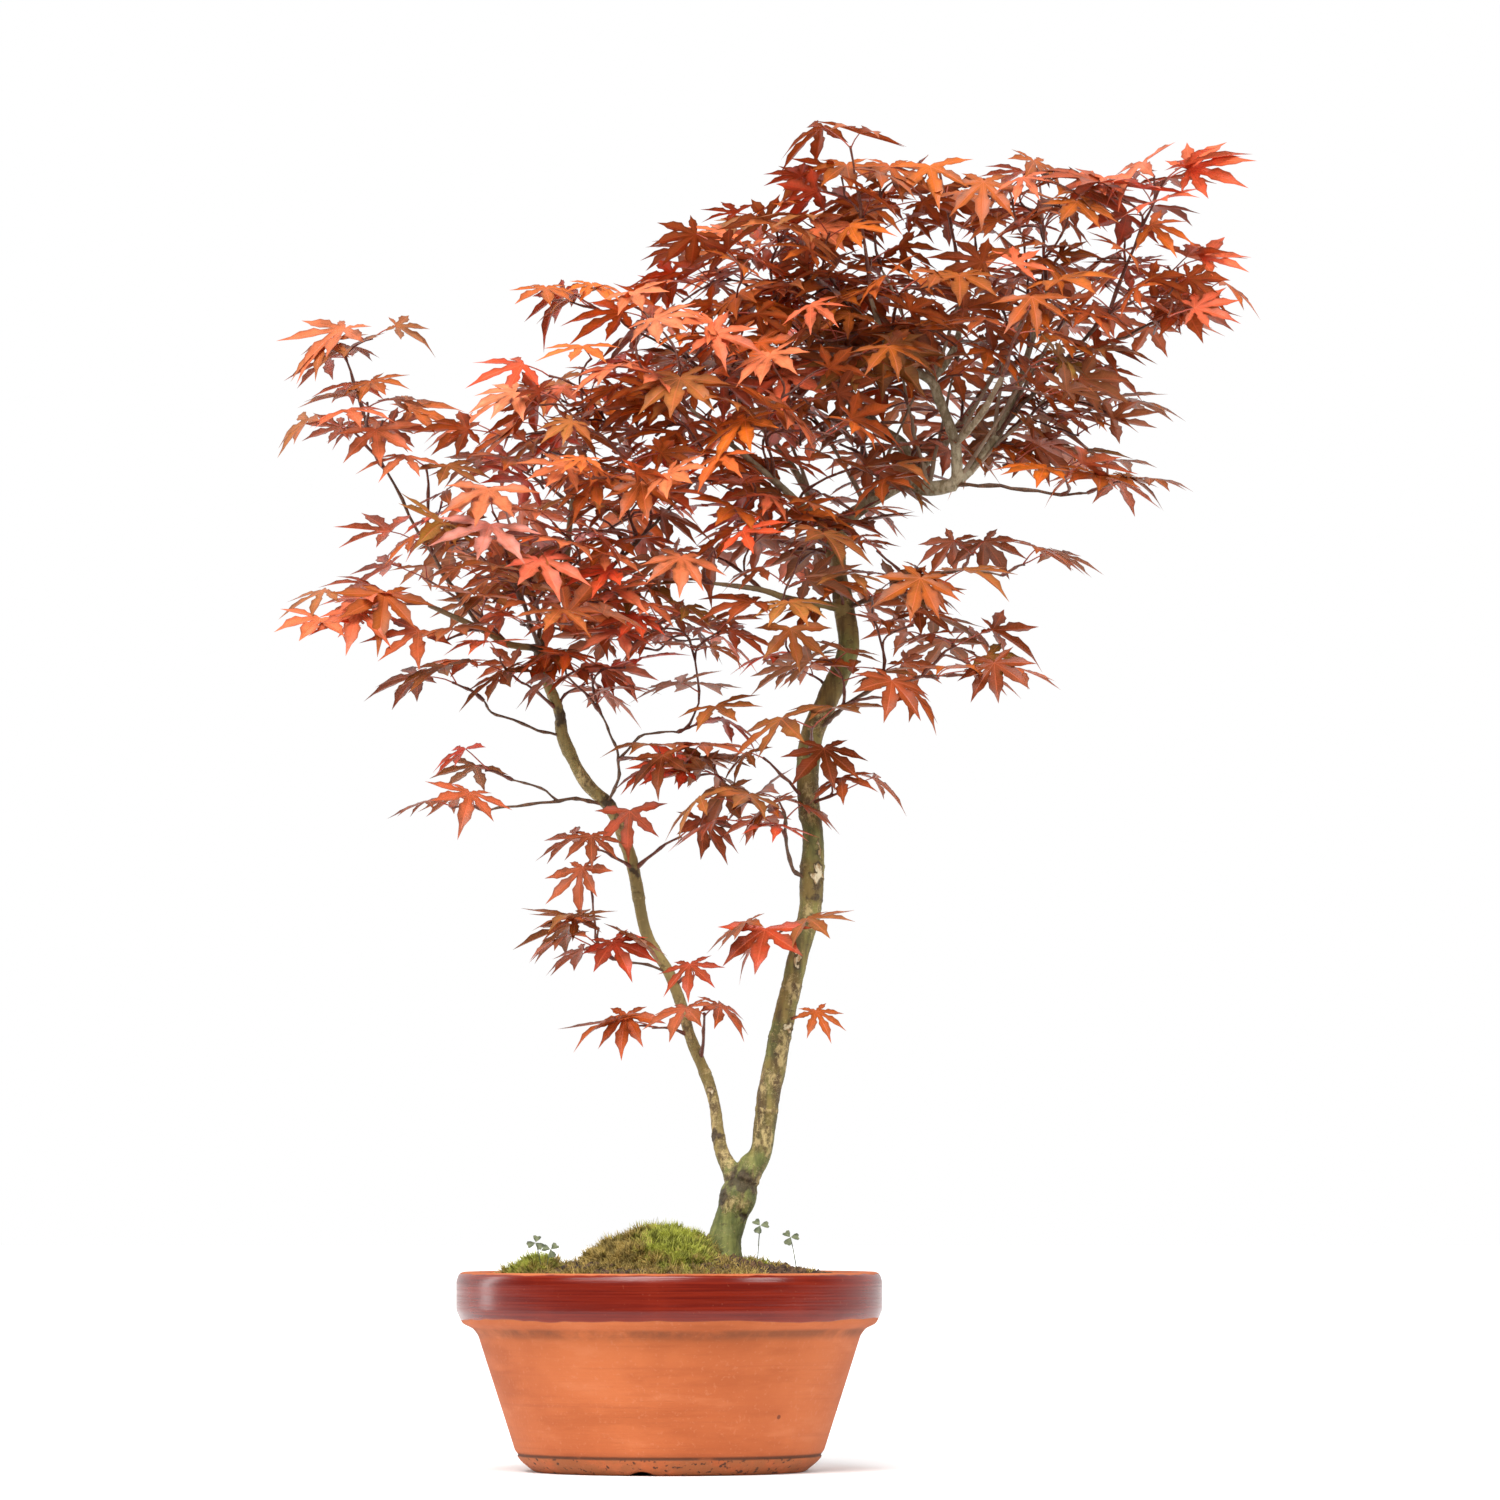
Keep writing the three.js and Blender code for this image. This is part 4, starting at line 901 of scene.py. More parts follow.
# Where the crown is filled out further: the middle of each layer of leaves, how far it reaches to the
# sides, to front and back and up and down, and how many leafy twigs it has.
layers = [
    (118, -10, 758, 32, 40, 14, 5), (214, 20, 752, 42, 50, 12, 7), (280, 0, 764, 24, 36, 10, 2),
    (52, 0, 714, 50, 70, 24, 13), (96, -10, 718, 40, 60, 18, 7), (138, 0, 694, 60, 80, 20, 11),
    (232, 10, 710, 50, 80, 24, 11), (288, 6, 708, 36, 36, 20, 3), (300, 8, 690, 30, 50, 12, 3),
    (-52, -4, 330, 22, 14, 6, 1), (10, 0, 666, 50, 80, 22, 12), (80, 0, 662, 50, 90, 22, 12),
    (160, 24, 662, 50, 76, 22, 11), (232, 8, 646, 38, 80, 22, 10), (28, 0, 610, 60, 90, 24, 10),
    (108, 6, 614, 50, 90, 22, 10), (210, 44, 622, 48, 56, 20, 12), (248, -10, 598, 30, 40, 10, 2),
    (-46, 0, 630, 50, 70, 20, 12), (-74, 10, 598, 24, 60, 14, 3), (-34, 0, 590, 50, 90, 22, 7),
    (-92, 0, 552, 46, 90, 22, 10), (-56, 0, 568, 30, 90, 10, 2), (84, -10, 560, 52, 70, 18, 11),
    (-90, 0, 520, 36, 60, 12, 3), (-50, 0, 504, 46, 80, 16, 7), (4, -10, 500, 42, 60, 8, 8),
    (130, -4, 516, 34, 50, 18, 7), (-146, 0, 560, 14, 30, 8, 1), (-196, 0, 506, 30, 30, 10, 2),
    (-92, 0, 474, 40, 40, 12, 2), (-52, 0, 480, 28, 40, 12, 4), (164, -10, 478, 34, 40, 10, 2),
    (90, -8, 478, 22, 30, 12, 3), (-190, 0, 668, 20, 18, 12, 1), (-176, 5, 624, 18, 20, 12, 3),
    (-150, 5, 590, 22, 20, 12, 1), (60, 0, 586, 26, 60, 10, 2), (20, -14, 420, 30, 26, 12, 3),
    (56, -16, 388, 18, 16, 10, 2), (62, 0, 742, 50, 40, 8, 4), (-112, 0, 612, 16, 30, 8, 1),
]
# No twig puts a leaf in front of this place, where the pale limbs of the crown fork: its middle, its
# reach to the sides and up and down, and how far back the leaves start.
clearing = {"x": 174, "z": 622, "wide": 42, "tall": 36, "back": 14}
# Single leaves that catch the eye: the place of the leaf's foot, where its middle lobe points (turned
# from the right, and up), how far it is rolled, its length and its colour.
singles = [
    (106, -30, 780, -80, -30, 0, 34, "orange"), (156, -24, 780, -75, -42, 6, 34, "orange"),
    (188, -30, 770, -100, -50, -8, 34, "orange"), (211, -34, 772, -60, -24, 20, 26, "coral"),
    (219, -10, 785, -60, -38, -14, 30, "rust"), (283, -24, 782, -130, -40, 16, 38, "coral"),
    (312, -20, 779, 0, 16, 44, 40, "coral"), (288, -30, 744, -20, -10, 34, 32, "orange"),
    (320, -10, 726, 10, 12, 34, 30, "coral"), (314, -30, 694, 5, 10, 44, 30, "coral"),
    (205, -70, 716, 40, 20, 34, 26, "coral"), (172, -76, 708, -90, -24, 0, 34, "orange"),
    (57, -36, 322, -95, -44, 0, 36, "scarlet"), (92, -30, 430, -85, -44, 4, 36, "maroon"),
    # the mauve leaf here has the pale pink of a painted sheen on its upper face, as well as its own tone
    (-105, -94, 558, -110, -38, -10, 42, "mauve"), (-76, -88, 538, -60, -34, 10, 34, "coral"),
    (-21, -60, 700, -70, -24, 20, 26, "coral"), (-75, 0, 710, -90, -24, 0, 30, "orange"),
    (-47, 0, 712, -60, -24, 0, 28, "orange"), (-88, -30, 660, -165, -16, -30, 36, "scarlet"),
    (-196, -8, 684, -150, -30, -16, 40, "rose"), (-176, -16, 622, -80, -48, 8, 34, "rose"),
    (-26, -4, 272, -110, -52, 6, 30, "rust"), (-186, -30, 512, -100, -40, -6, 36, "rose"),
    (-52, -6, 360, -115, -62, 12, 30, "rose"), (72, -50, 500, -70, -60, 0, 32, "brown"),
    (-92, -60, 640, -160, -14, -34, 30, "coral"), (30, -84, 600, -120, -34, 10, 34, "rust"),
    (130, -90, 664, -70, -30, 0, 34, "rust"), (60, -84, 660, -100, -34, 14, 34, "coral"),
    (-24, -2, 394, -95, -66, 10, 30, "coral"), (12, -8, 302, -100, -40, 8, 28, "scarlet"),
    (-56, -10, 330, -150, -20, -20, 28, "rust"), (-8, -78, 682, -50, -12, 30, 34, "coral"),
    (26, -84, 672, -25, -12, 34, 34, "coral"), (128, -40, 590, -100, -20, 16, 34, "maroon"),
    (84, -80, 690, -50, -16, 24, 30, "coral"), (0, -80, 590, -60, -10, 36, 32, "coral"),
    (243, -44, 756, -70, -30, 0, 34, "orange"), (-52, -56, 668, -110, -26, 0, 32, "orange"),
    (132, -24, 780, -70, -34, 0, 32, "rust"), (260, -16, 774, -140, -30, -10, 34, "coral"),
    (-60, -80, 594, -150, -10, -30, 32, "rose"), (44, -76, 556, -30, -8, 34, 30, "scarlet"),
]
# bare branches of the fan: what each grows on and where, its lean to the right and its length
spray = [
    ("elbow", 1, 12, 96), ("elbow", 2, 34, 120), ("elbow", 2, 46, 100), ("crownLimb", 1, 28, 90),
    ("crownLimb", 2, -24, 84), ("crownLimb", 3, -46, 80), ("crownLimb", 3, 20, 76), ("topLimb", 1, 8, 92),
    ("topLimb", 1, 30, 90), ("rightLeader", 19, -30, 90), ("rightLeader", 19, 24, 70),
    ("archLimb", 2, -40, 90), ("greyLimb", 2, -20, 90), ("elbow", 1, -14, 70),
]


def rootOf(name):
    # the leafy branch, nearest to the trunk, that this one belongs to, or nothing where it is wood
    if not name:
        return None
    on, at, leafy, route = branches[name]
    return rootOf(on) or (name if leafy else None)


def stationsOf(name):
    on, at, leafy, route = branches[name]
    points = [Vector(point) for point in route]
    return [Vector((*stationsOf(on)[at][:3], route[0][3]))] + points if on else points


def stemNumbers():
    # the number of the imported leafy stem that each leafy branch, or shoot on bare wood, belongs to
    roots = [rootOf(name) for name in branches if rootOf(name)]
    roots += [rootOf(shoot[0]) or index for index, shoot in enumerate(shoots)]
    return {root: number for number, root in enumerate(dict.fromkeys(roots), 1)}


stations = {name: stationsOf(name) for name in branches}
stemOf = stemNumbers()

bark = {
    "sides": 20,
    "steps": 8,
    "spacing": 1.5,
    "voxel": 0.88,
    "smoothing": 5,
    "lump": 0.7,
    "rough": 0.22,
    "firstRing": 12,
    "ringGap": 34,
    "ringWidth": 1.5,
    "ringHeight": 0.45,
    "woundDepth": 0.5,
    "knot": 1.6,
    "ragged": 3.2,
    # each mark: its middle, and its reach in x, y and z
    "wounds": [((89.5, -11, 371), (1.6, 5, 5)), ((88, -12, 355), (2.6, 5, 6.5)),
        ((71, -13.5, 264), (1.8, 5, 4)), ((76, -12, 305), (1.5, 5, 5)), ((24, 2, 226), (2.6, 6, 3))],
    "darkPatches": [((43, -6, 172), (9, 12, 9)), ((32, -6, 164), (4, 8, 5)), ((28, 4, 200), (3, 6, 5)),
        ((58, -6, 258), (2, 5, 3)), ((-78, 20, 492), (8, 12, 8)), ((-66, 24, 452), (5, 9, 6)),
        ((-37, 22, 401), (6, 9, 6)), ((-20, 18, 358), (3, 6, 4)), ((86, -6, 342), (6, 9, 3)),
        ((44, -6, 152), (3, 6, 4))],
    "tanPatches": [((60, -8, 231), (8, 10, 10)), ((58, -8, 200), (8, 10, 14)), ((75, -12, 286), (7, 9, 9)),
        ((52, -6, 174), (8, 9, 9)), ((34, 0, 185), (7, 10, 12)), ((24, 4, 222), (8, 10, 26)),
        ((10, 12, 268), (6, 9, 16)), ((84, -10, 330), (7, 9, 12)), ((-30, 18, 388), (7, 9, 14)),
        ((-52, 22, 414), (9, 9, 12)), ((84, -8, 400), (7, 9, 16)), ((88, -4, 450), (7, 9, 12)),
        ((68, -12, 250), (5, 9, 12)), ((38, -8, 160), (10, 9, 8))],
}


def barkMaterial():
    material, place = startMaterial("smooth maple bark")
    girth, height = reading(place, "girth"), partOf(place, 2)
    # green wood, streaked along the trunk and browner with height
    streak = clouds(place, 170, 5, 0.6, (1, 1, 0.2))
    green = blend(between(streak, 0.32, 0.68), (74, 80, 33), (121, 122, 60))
    brown = blend(between(streak, 0.34, 0.66), (78, 58, 27), (124, 102, 50))
    browner = plus(times(between(height, 0.15, 0.24), 0.3), times(between(girth, 5.4, 4.0), 0.25),
                   plus(clouds(place, 46, 4), -0.62))
    # corky scales, hair cracks, dark knots and pale wounds
    flecks = clouds(place, 260, 5, 0.68, (1, 1, 0.55))
    cork = blend(between(flecks, 0.42, 0.6), (80, 56, 30), (182, 158, 106))
    # the grey of the upper limbs is partly their own and partly painted light against the crown's shade
    grey = blend(between(flecks, 0.38, 0.62), (122, 108, 84), (188, 176, 150))
    bare = blend(between(flecks, 0.42, 0.58), (150, 118, 76), (206, 192, 160))
    torn = swing(clouds(place, 190, 5, 0.7, (1, 1, 0.5)), 2.6)
    patch = plus(reading(place, "tan"), times(reading(place, "ring"), 0.5), plus(torn, -0.32))
    cracks = clouds(place, 210, 2, 0.5, (1, 1, 1.8))
    knots = between(times(reading(place, "dark"), plus(torn, 0.9)), 0.15, 0.6)
    cut = plus(reading(place, "pale"), times(torn, 0.22))
    colour = washes(
        blend(between(browner, -0.1, 0.3), green, brown),
        (between(girth, 5.0, 4.2), 0.4, (158, 140, 84)),
        (between(patch, 0.1, 0.5), 0.72, cork),
        (between(clouds(place, 430), 0.62, 0.7), 0.5, (150, 126, 76)),
        (times(belt(cracks, 0.485, 0.5, 0.5, 0.515), between(patch, -0.3, 0.2)), 0.6, (190, 170, 118)),
        (between(clouds(place, 120, 4, 0.6, (1, 1, 2.2)), 0.6, 0.68), 0.55, (60, 42, 22)),
        # upper limbs are greyer, and painted paler still, as light against the shade in the crown; thin ones
        # redder
        (between(height, 0.54, 0.6), 0.75, grey),
        (between(girth, 2.6, 1.5), 0.7, (124, 98, 76)),
        (knots, 0.85, (50, 33, 19)),
        (between(cut, 0.32, 0.6), 1.0, bare),
        (belt(cut, 0.1, 0.28, 0.34, 0.5), 0.6, (62, 42, 24)),
    )
    bumps = plus(times(flecks, 0.9), times(streak, 0.35), times(between(patch, 0.0, 0.4), 0.4))
    return surfaced(material, colour, {
        "Roughness": ranged(flecks, 0.55, 0.85), "Normal": relief(bumps, 0.0006), "Specular IOR Level": 0.45,
    })


def barkSamples(line, seed):
    # places along a limb, each with its radius, how far along it is, and where the limb's rings are
    draw = drawsFrom(seed)
    samples, rings = [], []
    along, nextRing = 0, bark["firstRing"]
    for start, end in zip(line, line[1:]):
        length = (end - start).to_3d().length
        pieces = max(1, round(length / bark["spacing"]))
        for share in [step / pieces for step in range(pieces)]:
            point = start.lerp(end, share)
            samples.append((spot(*point[:3]), point[3], along + share * length, rings))
        along += length
    while nextRing < along:
        rings.append(nextRing)
        nextRing += bark["ringGap"] * (0.7 + 0.6 * draw())
    return samples


def markAt(place, marks):
    # how strongly a place is marked, 1 in the middle of a mark
    return max((math.exp(-sum(((a - b) / size) ** 2 for a, b, size in zip(place, middle, reach)))
                for middle, reach in marks), default=0)


def makeWood():
    # every limb is a tube along its route; they are grown together, smoothed and given their bark's relief
    corners, faces, samples = [], [], []
    for name in branches:
        if not rootOf(name):
            line = smoothRoute(stations[name], bark["steps"])
            radii = [point[3] * mm for point in line]
            join(corners, faces, *tubeOf([spot(*point[:3]) for point in line], radii, bark["sides"]))
            samples += barkSamples(line, len(samples) + 5)
    piece = meshPiece("trunk_and_limbs_bark", corners, faces)
    remesh = piece.modifiers.new("grown together", "REMESH")
    remesh.mode = "VOXEL"
    remesh.voxel_size = bark["voxel"] * mm
    remesh.use_smooth_shade = True
    piece.modifiers.new("softened forks", "SMOOTH").iterations = bark["smoothing"]
    freeze(piece)
    nearest = nearestOf([sample[0] for sample in samples])
    values = {"girth": [], "ring": [], "pale": [], "dark": [], "tan": []}
    ragged = bark["ragged"]
    for vertex in piece.data.vertices:
        place, index, away = nearest.find(vertex.co)
        radius, along, rings = samples[index][1:]
        out = (vertex.co - place).normalized()
        seen = (vertex.co - axis) / mm
        torn = seen + ragged * noise.noise_vector(seen / 4) + ragged / 2 * noise.noise_vector(seen / 1.5)
        ring = max((math.exp(-((along - at) / bark["ringWidth"]) ** 2) for at in rings), default=0)
        pale, dark, tan = [markAt(torn, bark[name]) for name in ("wounds", "darkPatches", "tanPatches")]
        height = bark["lump"] * noise.noise(seen / 11) + bark["rough"] * noise.noise(seen / 2.4)
        height += bark["ringHeight"] * ring - bark["woundDepth"] * pale
        # a lip of new bark round each wound
        height += 2.2 * bark["woundDepth"] * math.exp(-((pale - 0.35) / 0.14) ** 2)
        height += bark["knot"] * dark * noise.noise(seen / 3)
        vertex.co += out * height * mm * min(1, radius / 5)
        for name, value in zip(values, (radius, ring, pale, dark, tan)):
            values[name].append(value)
    for name in values:
        setValues(piece, name, values[name])
    piece.data.materials.clear()
    piece.data.materials.append(barkMaterial())
    piece.data.polygons.foreach_set("use_smooth", [True] * len(piece.data.polygons))
    settle(piece, "bark", "trunk_and_limbs")


leaf = {
    "patterns": 12,
    "thickness": 0.4,
    "fold": 0.3,  # how far a lobe's edges stand above its rib, as a share of its half width
    "droop": 0.22,
    "curl": 0.1,
    "tooth": 0.015,
    "stalk": 0.42,
    "tipGap": 1.6,  # from a shoot's tip to its first leaves
    "pairGap": 21,
    "handGap": 1.4,
    "firstSpread": 32,  # degrees from the shoot, for the leaves at its tip
    "spread": 60,
    "stalkRun": 14,
    "length": 29,
    "usualLength": 33,
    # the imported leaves: half their thickness, how many turns to try, and how near is the same place
    "packedHalf": 0.4,
    "packedTries": 10,
    "match": 0.3,
    # the leaves that fill the crown
    "rise": 17,
    "roll": 70,
    "apart": 17,
    "tries": 8,
    "smallest": 0.8,
    "sizes": 0.32,  # how much larger than the smallest they can be
    "single": (16, 6),  # how far a single leaf's stalk starts behind and below it
    # how far to the right each part of the crown reaches, and how high its low and middle parts do
    "sides": {"left": -60, "middle": 60, "right": 190, "far": 999},
    "low": 480,
    "mid": 610,
}
twig = {
    "foot": 1.15,
    "tip": 0.62,
    "steps": 7,
    "sides": 6,
    "sway": 1.6,
    "bud": 0.4,
    "shortest": 24,
    "long": 60,  # a twig from here on has one more leaf
    "longest": 105,
    "arch": 0.06,
    "shootArch": 0.12,
}
barkBrown, youngRed = paint(88, 62, 42), paint(98, 46, 32)
stalkRed, paleBark = paint(166, 66, 46), paint(150, 128, 104)
twigLines = []  # each: its places, its radii and its colour
leafList = []  # each: its pose, its stem's number or nothing, and the seed of its looks
skeleton = []  # where twigs can start: the place, the way it heads, its radius and its stem's number


def addLine(places, foot, tip, colour):
    last = len(places) - 1
    twigLines.append((places, [foot + (tip - foot) * index / last for index in range(last + 1)], colour))


def curvePoint(start, middle, end, share):
    return start.lerp(middle, share).lerp(middle.lerp(end, share), share)


def curveOf(start, end, arch, lead=None):
    # a bend from start to end that arches up, and may leave its start along a lead
    length = (end - start).length
    middle = start + lead * 0.4 * length if lead else start.lerp(end, 0.5)
    return start, middle + Vector((0, 0, arch * length)), end


def addTwig(curve, foot, tip, colour, steps=twig["steps"]):
    places = [curvePoint(*curve, step / steps) for step in range(steps + 1)]
    addLine(places, foot, tip, colour)
    return places


def addStarts(places, first, radius, stem):
    # other twigs can start from here on
    for before, place in zip(places[first - 1:], places[first:]):
        skeleton.append((place, (place - before).normalized(), radius, stem))


def pointing(heading, pitch):
    return Vector((math.cos(heading) * math.cos(pitch), math.sin(heading) * math.cos(pitch), math.sin(pitch)))


def turnedLeaf(heading, pitch, roll):
    # where a leaf's middle lobe, its side and its upper face point
    ahead = pointing(heading, pitch)
    level = Vector((-math.sin(heading), math.cos(heading), 0))
    side = level * math.cos(roll) + ahead.cross(level) * math.sin(roll)
    return {"ahead": ahead, "side": side, "up": ahead.cross(side)}


def leafPose(curve, leaves, size, rise, number, draw, sway=40):
    # the same rule as in the part's source: opposite pairs, the first of them at the shoot's tip
    odd = leaves % 2
    pair, right = divmod(number + odd, 2)
    hand = 0 if odd and number == 0 else right * 2 - 1
    run = curve[2] - curve[0]
    steepness = abs(run.z) / run.length
    back = leaf["tipGap"] + pair * leaf["pairGap"] + (leaf["handGap"] if hand > 0 else 0)
    node = curvePoint(*curve, max(1 - back / run.length, 0.3))
    spread = leaf["spread" if pair else "firstSpread"] * (1 + 0.7 * steepness)
    heading = math.atan2(run.y, run.x) + math.radians(hand * spread + 26 * (draw() - 0.5))
    stalk = pointing(heading, math.radians(6 + 30 * draw()))
    base = node + stalk * (leaf["stalkRun"] + 12 * draw()) * size
    turned = heading + math.radians(34 * (draw() - 0.5))
    pitch = math.radians(rise - 6 - 44 * draw())
    pose = turnedLeaf(turned, pitch, math.radians(sway * (draw() - 0.5)))
    return {**pose, "node": node, "base": base, "length": (leaf["length"] + 8 * draw()) * size}


def middleOf(pose):
    return pose["base"] + pose["ahead"] * pose["length"] * 0.4


def addLeaf(pose, stem, seed):
    leafList.append((pose, stem, seed))
    node, base = pose["node"], pose["base"]
    middle = node.lerp(base, 0.5) + Vector((0, 0, 0.09 * (base - node).length))
    neck = base - pose["ahead"] * 0.6
    places = [curvePoint(node, middle, neck, step / 4) for step in range(5)]
    addLine(places, leaf["stalk"] * 1.15, leaf["stalk"] * 0.8, stalkRed)


def placeStems():
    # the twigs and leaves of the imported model, each where it is there
    nodes = [node for name, node in frame["nodes"].items() if name.startswith("leafy_stem")]
    packed = nearestOf([vertex.co for node in nodes for vertex in node.data.vertices])
    for name in branches:
        line = smoothRoute(stations[name], 5)
        if rootOf(name):
            radii = [point[3] * 0.66 for point in line]
            twigLines.append(([point.to_3d() for point in line], radii, barkBrown))
        for index, point in enumerate(line[2:], 2):
            ahead = line[min(index + 1, len(line) - 1)] - line[index - 1]
            skeleton.append((point.to_3d(), ahead.to_3d().normalized(), point[3], stemOf.get(rootOf(name))))
    missed = 0
    for index, (on, at, tip, leaves, size, *rise) in enumerate(shoots):
        curve = curveOf(stations[on][at].to_3d(), Vector(tip), twig["shootArch"])
        stem = stemOf[rootOf(on) or index]
        addStarts(addTwig(curve, twig["foot"], twig["tip"], youngRed), 2, twig["tip"], stem)
        for number in range(leaves):
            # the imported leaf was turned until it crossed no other; this finds the turn that it got
            for attempt in range(leaf["packedTries"]):
                draw = drawsFrom(index * 7919 + number * 613 + attempt * 97 + 11)
                pose = leafPose(curve, leaves, size, rise[0] if rise else 0, number, draw)
                hanging = pose["ahead"] - pose["up"] * leaf["droop"]
                tip = pose["base"] + hanging * pose["length"] + pose["up"] * leaf["packedHalf"]
                if packed.find(spot(*tip))[2] < leaf["match"] * mm:
                    addLeaf(pose, stem, index * 31 + number)
                    break
            else:
                missed += 1
    print("stems of the packed model:", len(leafList), "leaves,", missed, "not there")


def addSpray():
    # straight thin branches stand up like a fan where the crown's limbs fork
    for index, (on, at, lean, length) in enumerate(spray):
        draw = drawsFrom(8100 + index * 37)
        start = stations[on][at].to_3d()
        lean = math.radians(lean)
        target = start + Vector((math.sin(lean), 0.5 * (draw() - 0.5), math.cos(lean))) * length
        places = addTwig(curveOf(start, target, 0.05 * (draw() - 0.5)), 1.25, 0.6, paleBark, 8)
        addStarts(places, 3, 0.9, stemOf.get(rootOf(on)))


def twigCost(sample, target):
    # twigs are short, rise a little and keep their branch's way
    place, lead, radius, stem = sample
    run = target - place
    length = run.length
    cost = length + 1.2 * max(0, -run.z) + 0.35 * length * (1 - lead.dot(run) / (length + 0.1))
    return cost + 3 * max(0, twig["shortest"] * 0.7 - length) + 2 * max(0, length - twig["longest"])


def twigTo(target, shortest=0):
    # a twig to a place, from the wood or twig that suits it best
    start, lead, radius, stem = min(skeleton, key=lambda sample: twigCost(sample, target))
    target = target + lead * max(0, shortest - (target - start).length)
    curve = curveOf(start, target, twig["arch"], lead)
    places = addTwig(curve, min(twig["foot"], 0.7 * radius + 0.25), twig["tip"], youngRed)
    return curve, places, stem


def hasRoom(pose, low, high):
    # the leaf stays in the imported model's box and out of the clearing
    tip, middle = pose["base"] + pose["ahead"] * pose["length"], middleOf(pose)
    across = (middle.x - clearing["x"]) / clearing["wide"]
    up = (middle.z - clearing["z"]) / clearing["tall"]
    inside = all(low[i] + 2 <= tip[i] <= high[i] - 2 for i in range(3))
    return inside and (middle.y >= clearing["back"] or math.hypot(across, up) >= 1)


def fillCrown():
    # leafy twigs grow into each layer of the crown, and their leaves take the free places
    low, high = [(corner - axis) / mm for corner in cadBox]
    middles = [middleOf(pose) for pose, stem, seed in leafList]
    for layer, (x, y, z, wide, deep, tall, twigs) in enumerate(layers):
        for number in range(twigs):
            draw = drawsFrom(5000 + layer * 97 + number * 13)
            turn, level = 2 * math.pi * (number * 0.618 + 0.1 * draw()), 2 * draw() - 1
            reach = math.sqrt((number + 0.5) / twigs) * math.sqrt(1 - 0.5 * level ** 2)
            target = Vector((x + wide * reach * math.cos(turn), y + deep * reach * math.sin(turn),
                             z + tall * level))
            curve, places, stem = twigTo(target, twig["shortest"])
            addStarts(places, 2, twig["tip"], stem)
            leaves = 2 + (draw() > 0.45) + ((curve[2] - curve[0]).length > twig["long"])
            size = leaf["smallest"] + leaf["sizes"] * draw()
            for which in range(leaves):
                best = None
                for attempt in range(leaf["tries"]):
                    seed = 90000 + layer * 7919 + number * 613 + which * 97 + attempt * 11
                    pose = leafPose(curve, leaves, size, leaf["rise"], which, drawsFrom(seed), leaf["roll"])
                    if hasRoom(pose, low, high):
                        # other leaves count as further off above and below
                        away = ((middleOf(pose) - other) * Vector((1, 1, 1.5)) for other in middles)
                        gap = min(leaf["apart"], *[step.length for step in away])
                        if best is None or gap > best[0]:
                            best = gap, pose, seed
                if best:
                    middles.append(middleOf(best[1]))
                    addLeaf(best[1], stem, best[2])
    for number, (x, y, z, heading, pitch, roll, length, colour) in enumerate(singles):
        pose = turnedLeaf(*[math.radians(turn) for turn in (heading, pitch, roll)])
        base = Vector((x, y, z))
        behind, below = leaf["single"]
        node = base - Vector((*pose["ahead"][:2], 0)) * behind - Vector((0, 0, below))
        stem = twigTo(node)[2]
        pose.update({"node": node, "base": base, "length": length, "colour": colour})
        addLeaf(pose, stem, 300000 + number * 41)
    print("crown:", len(leafList), "leaves on", len(twigLines) - len(leafList), "twigs")


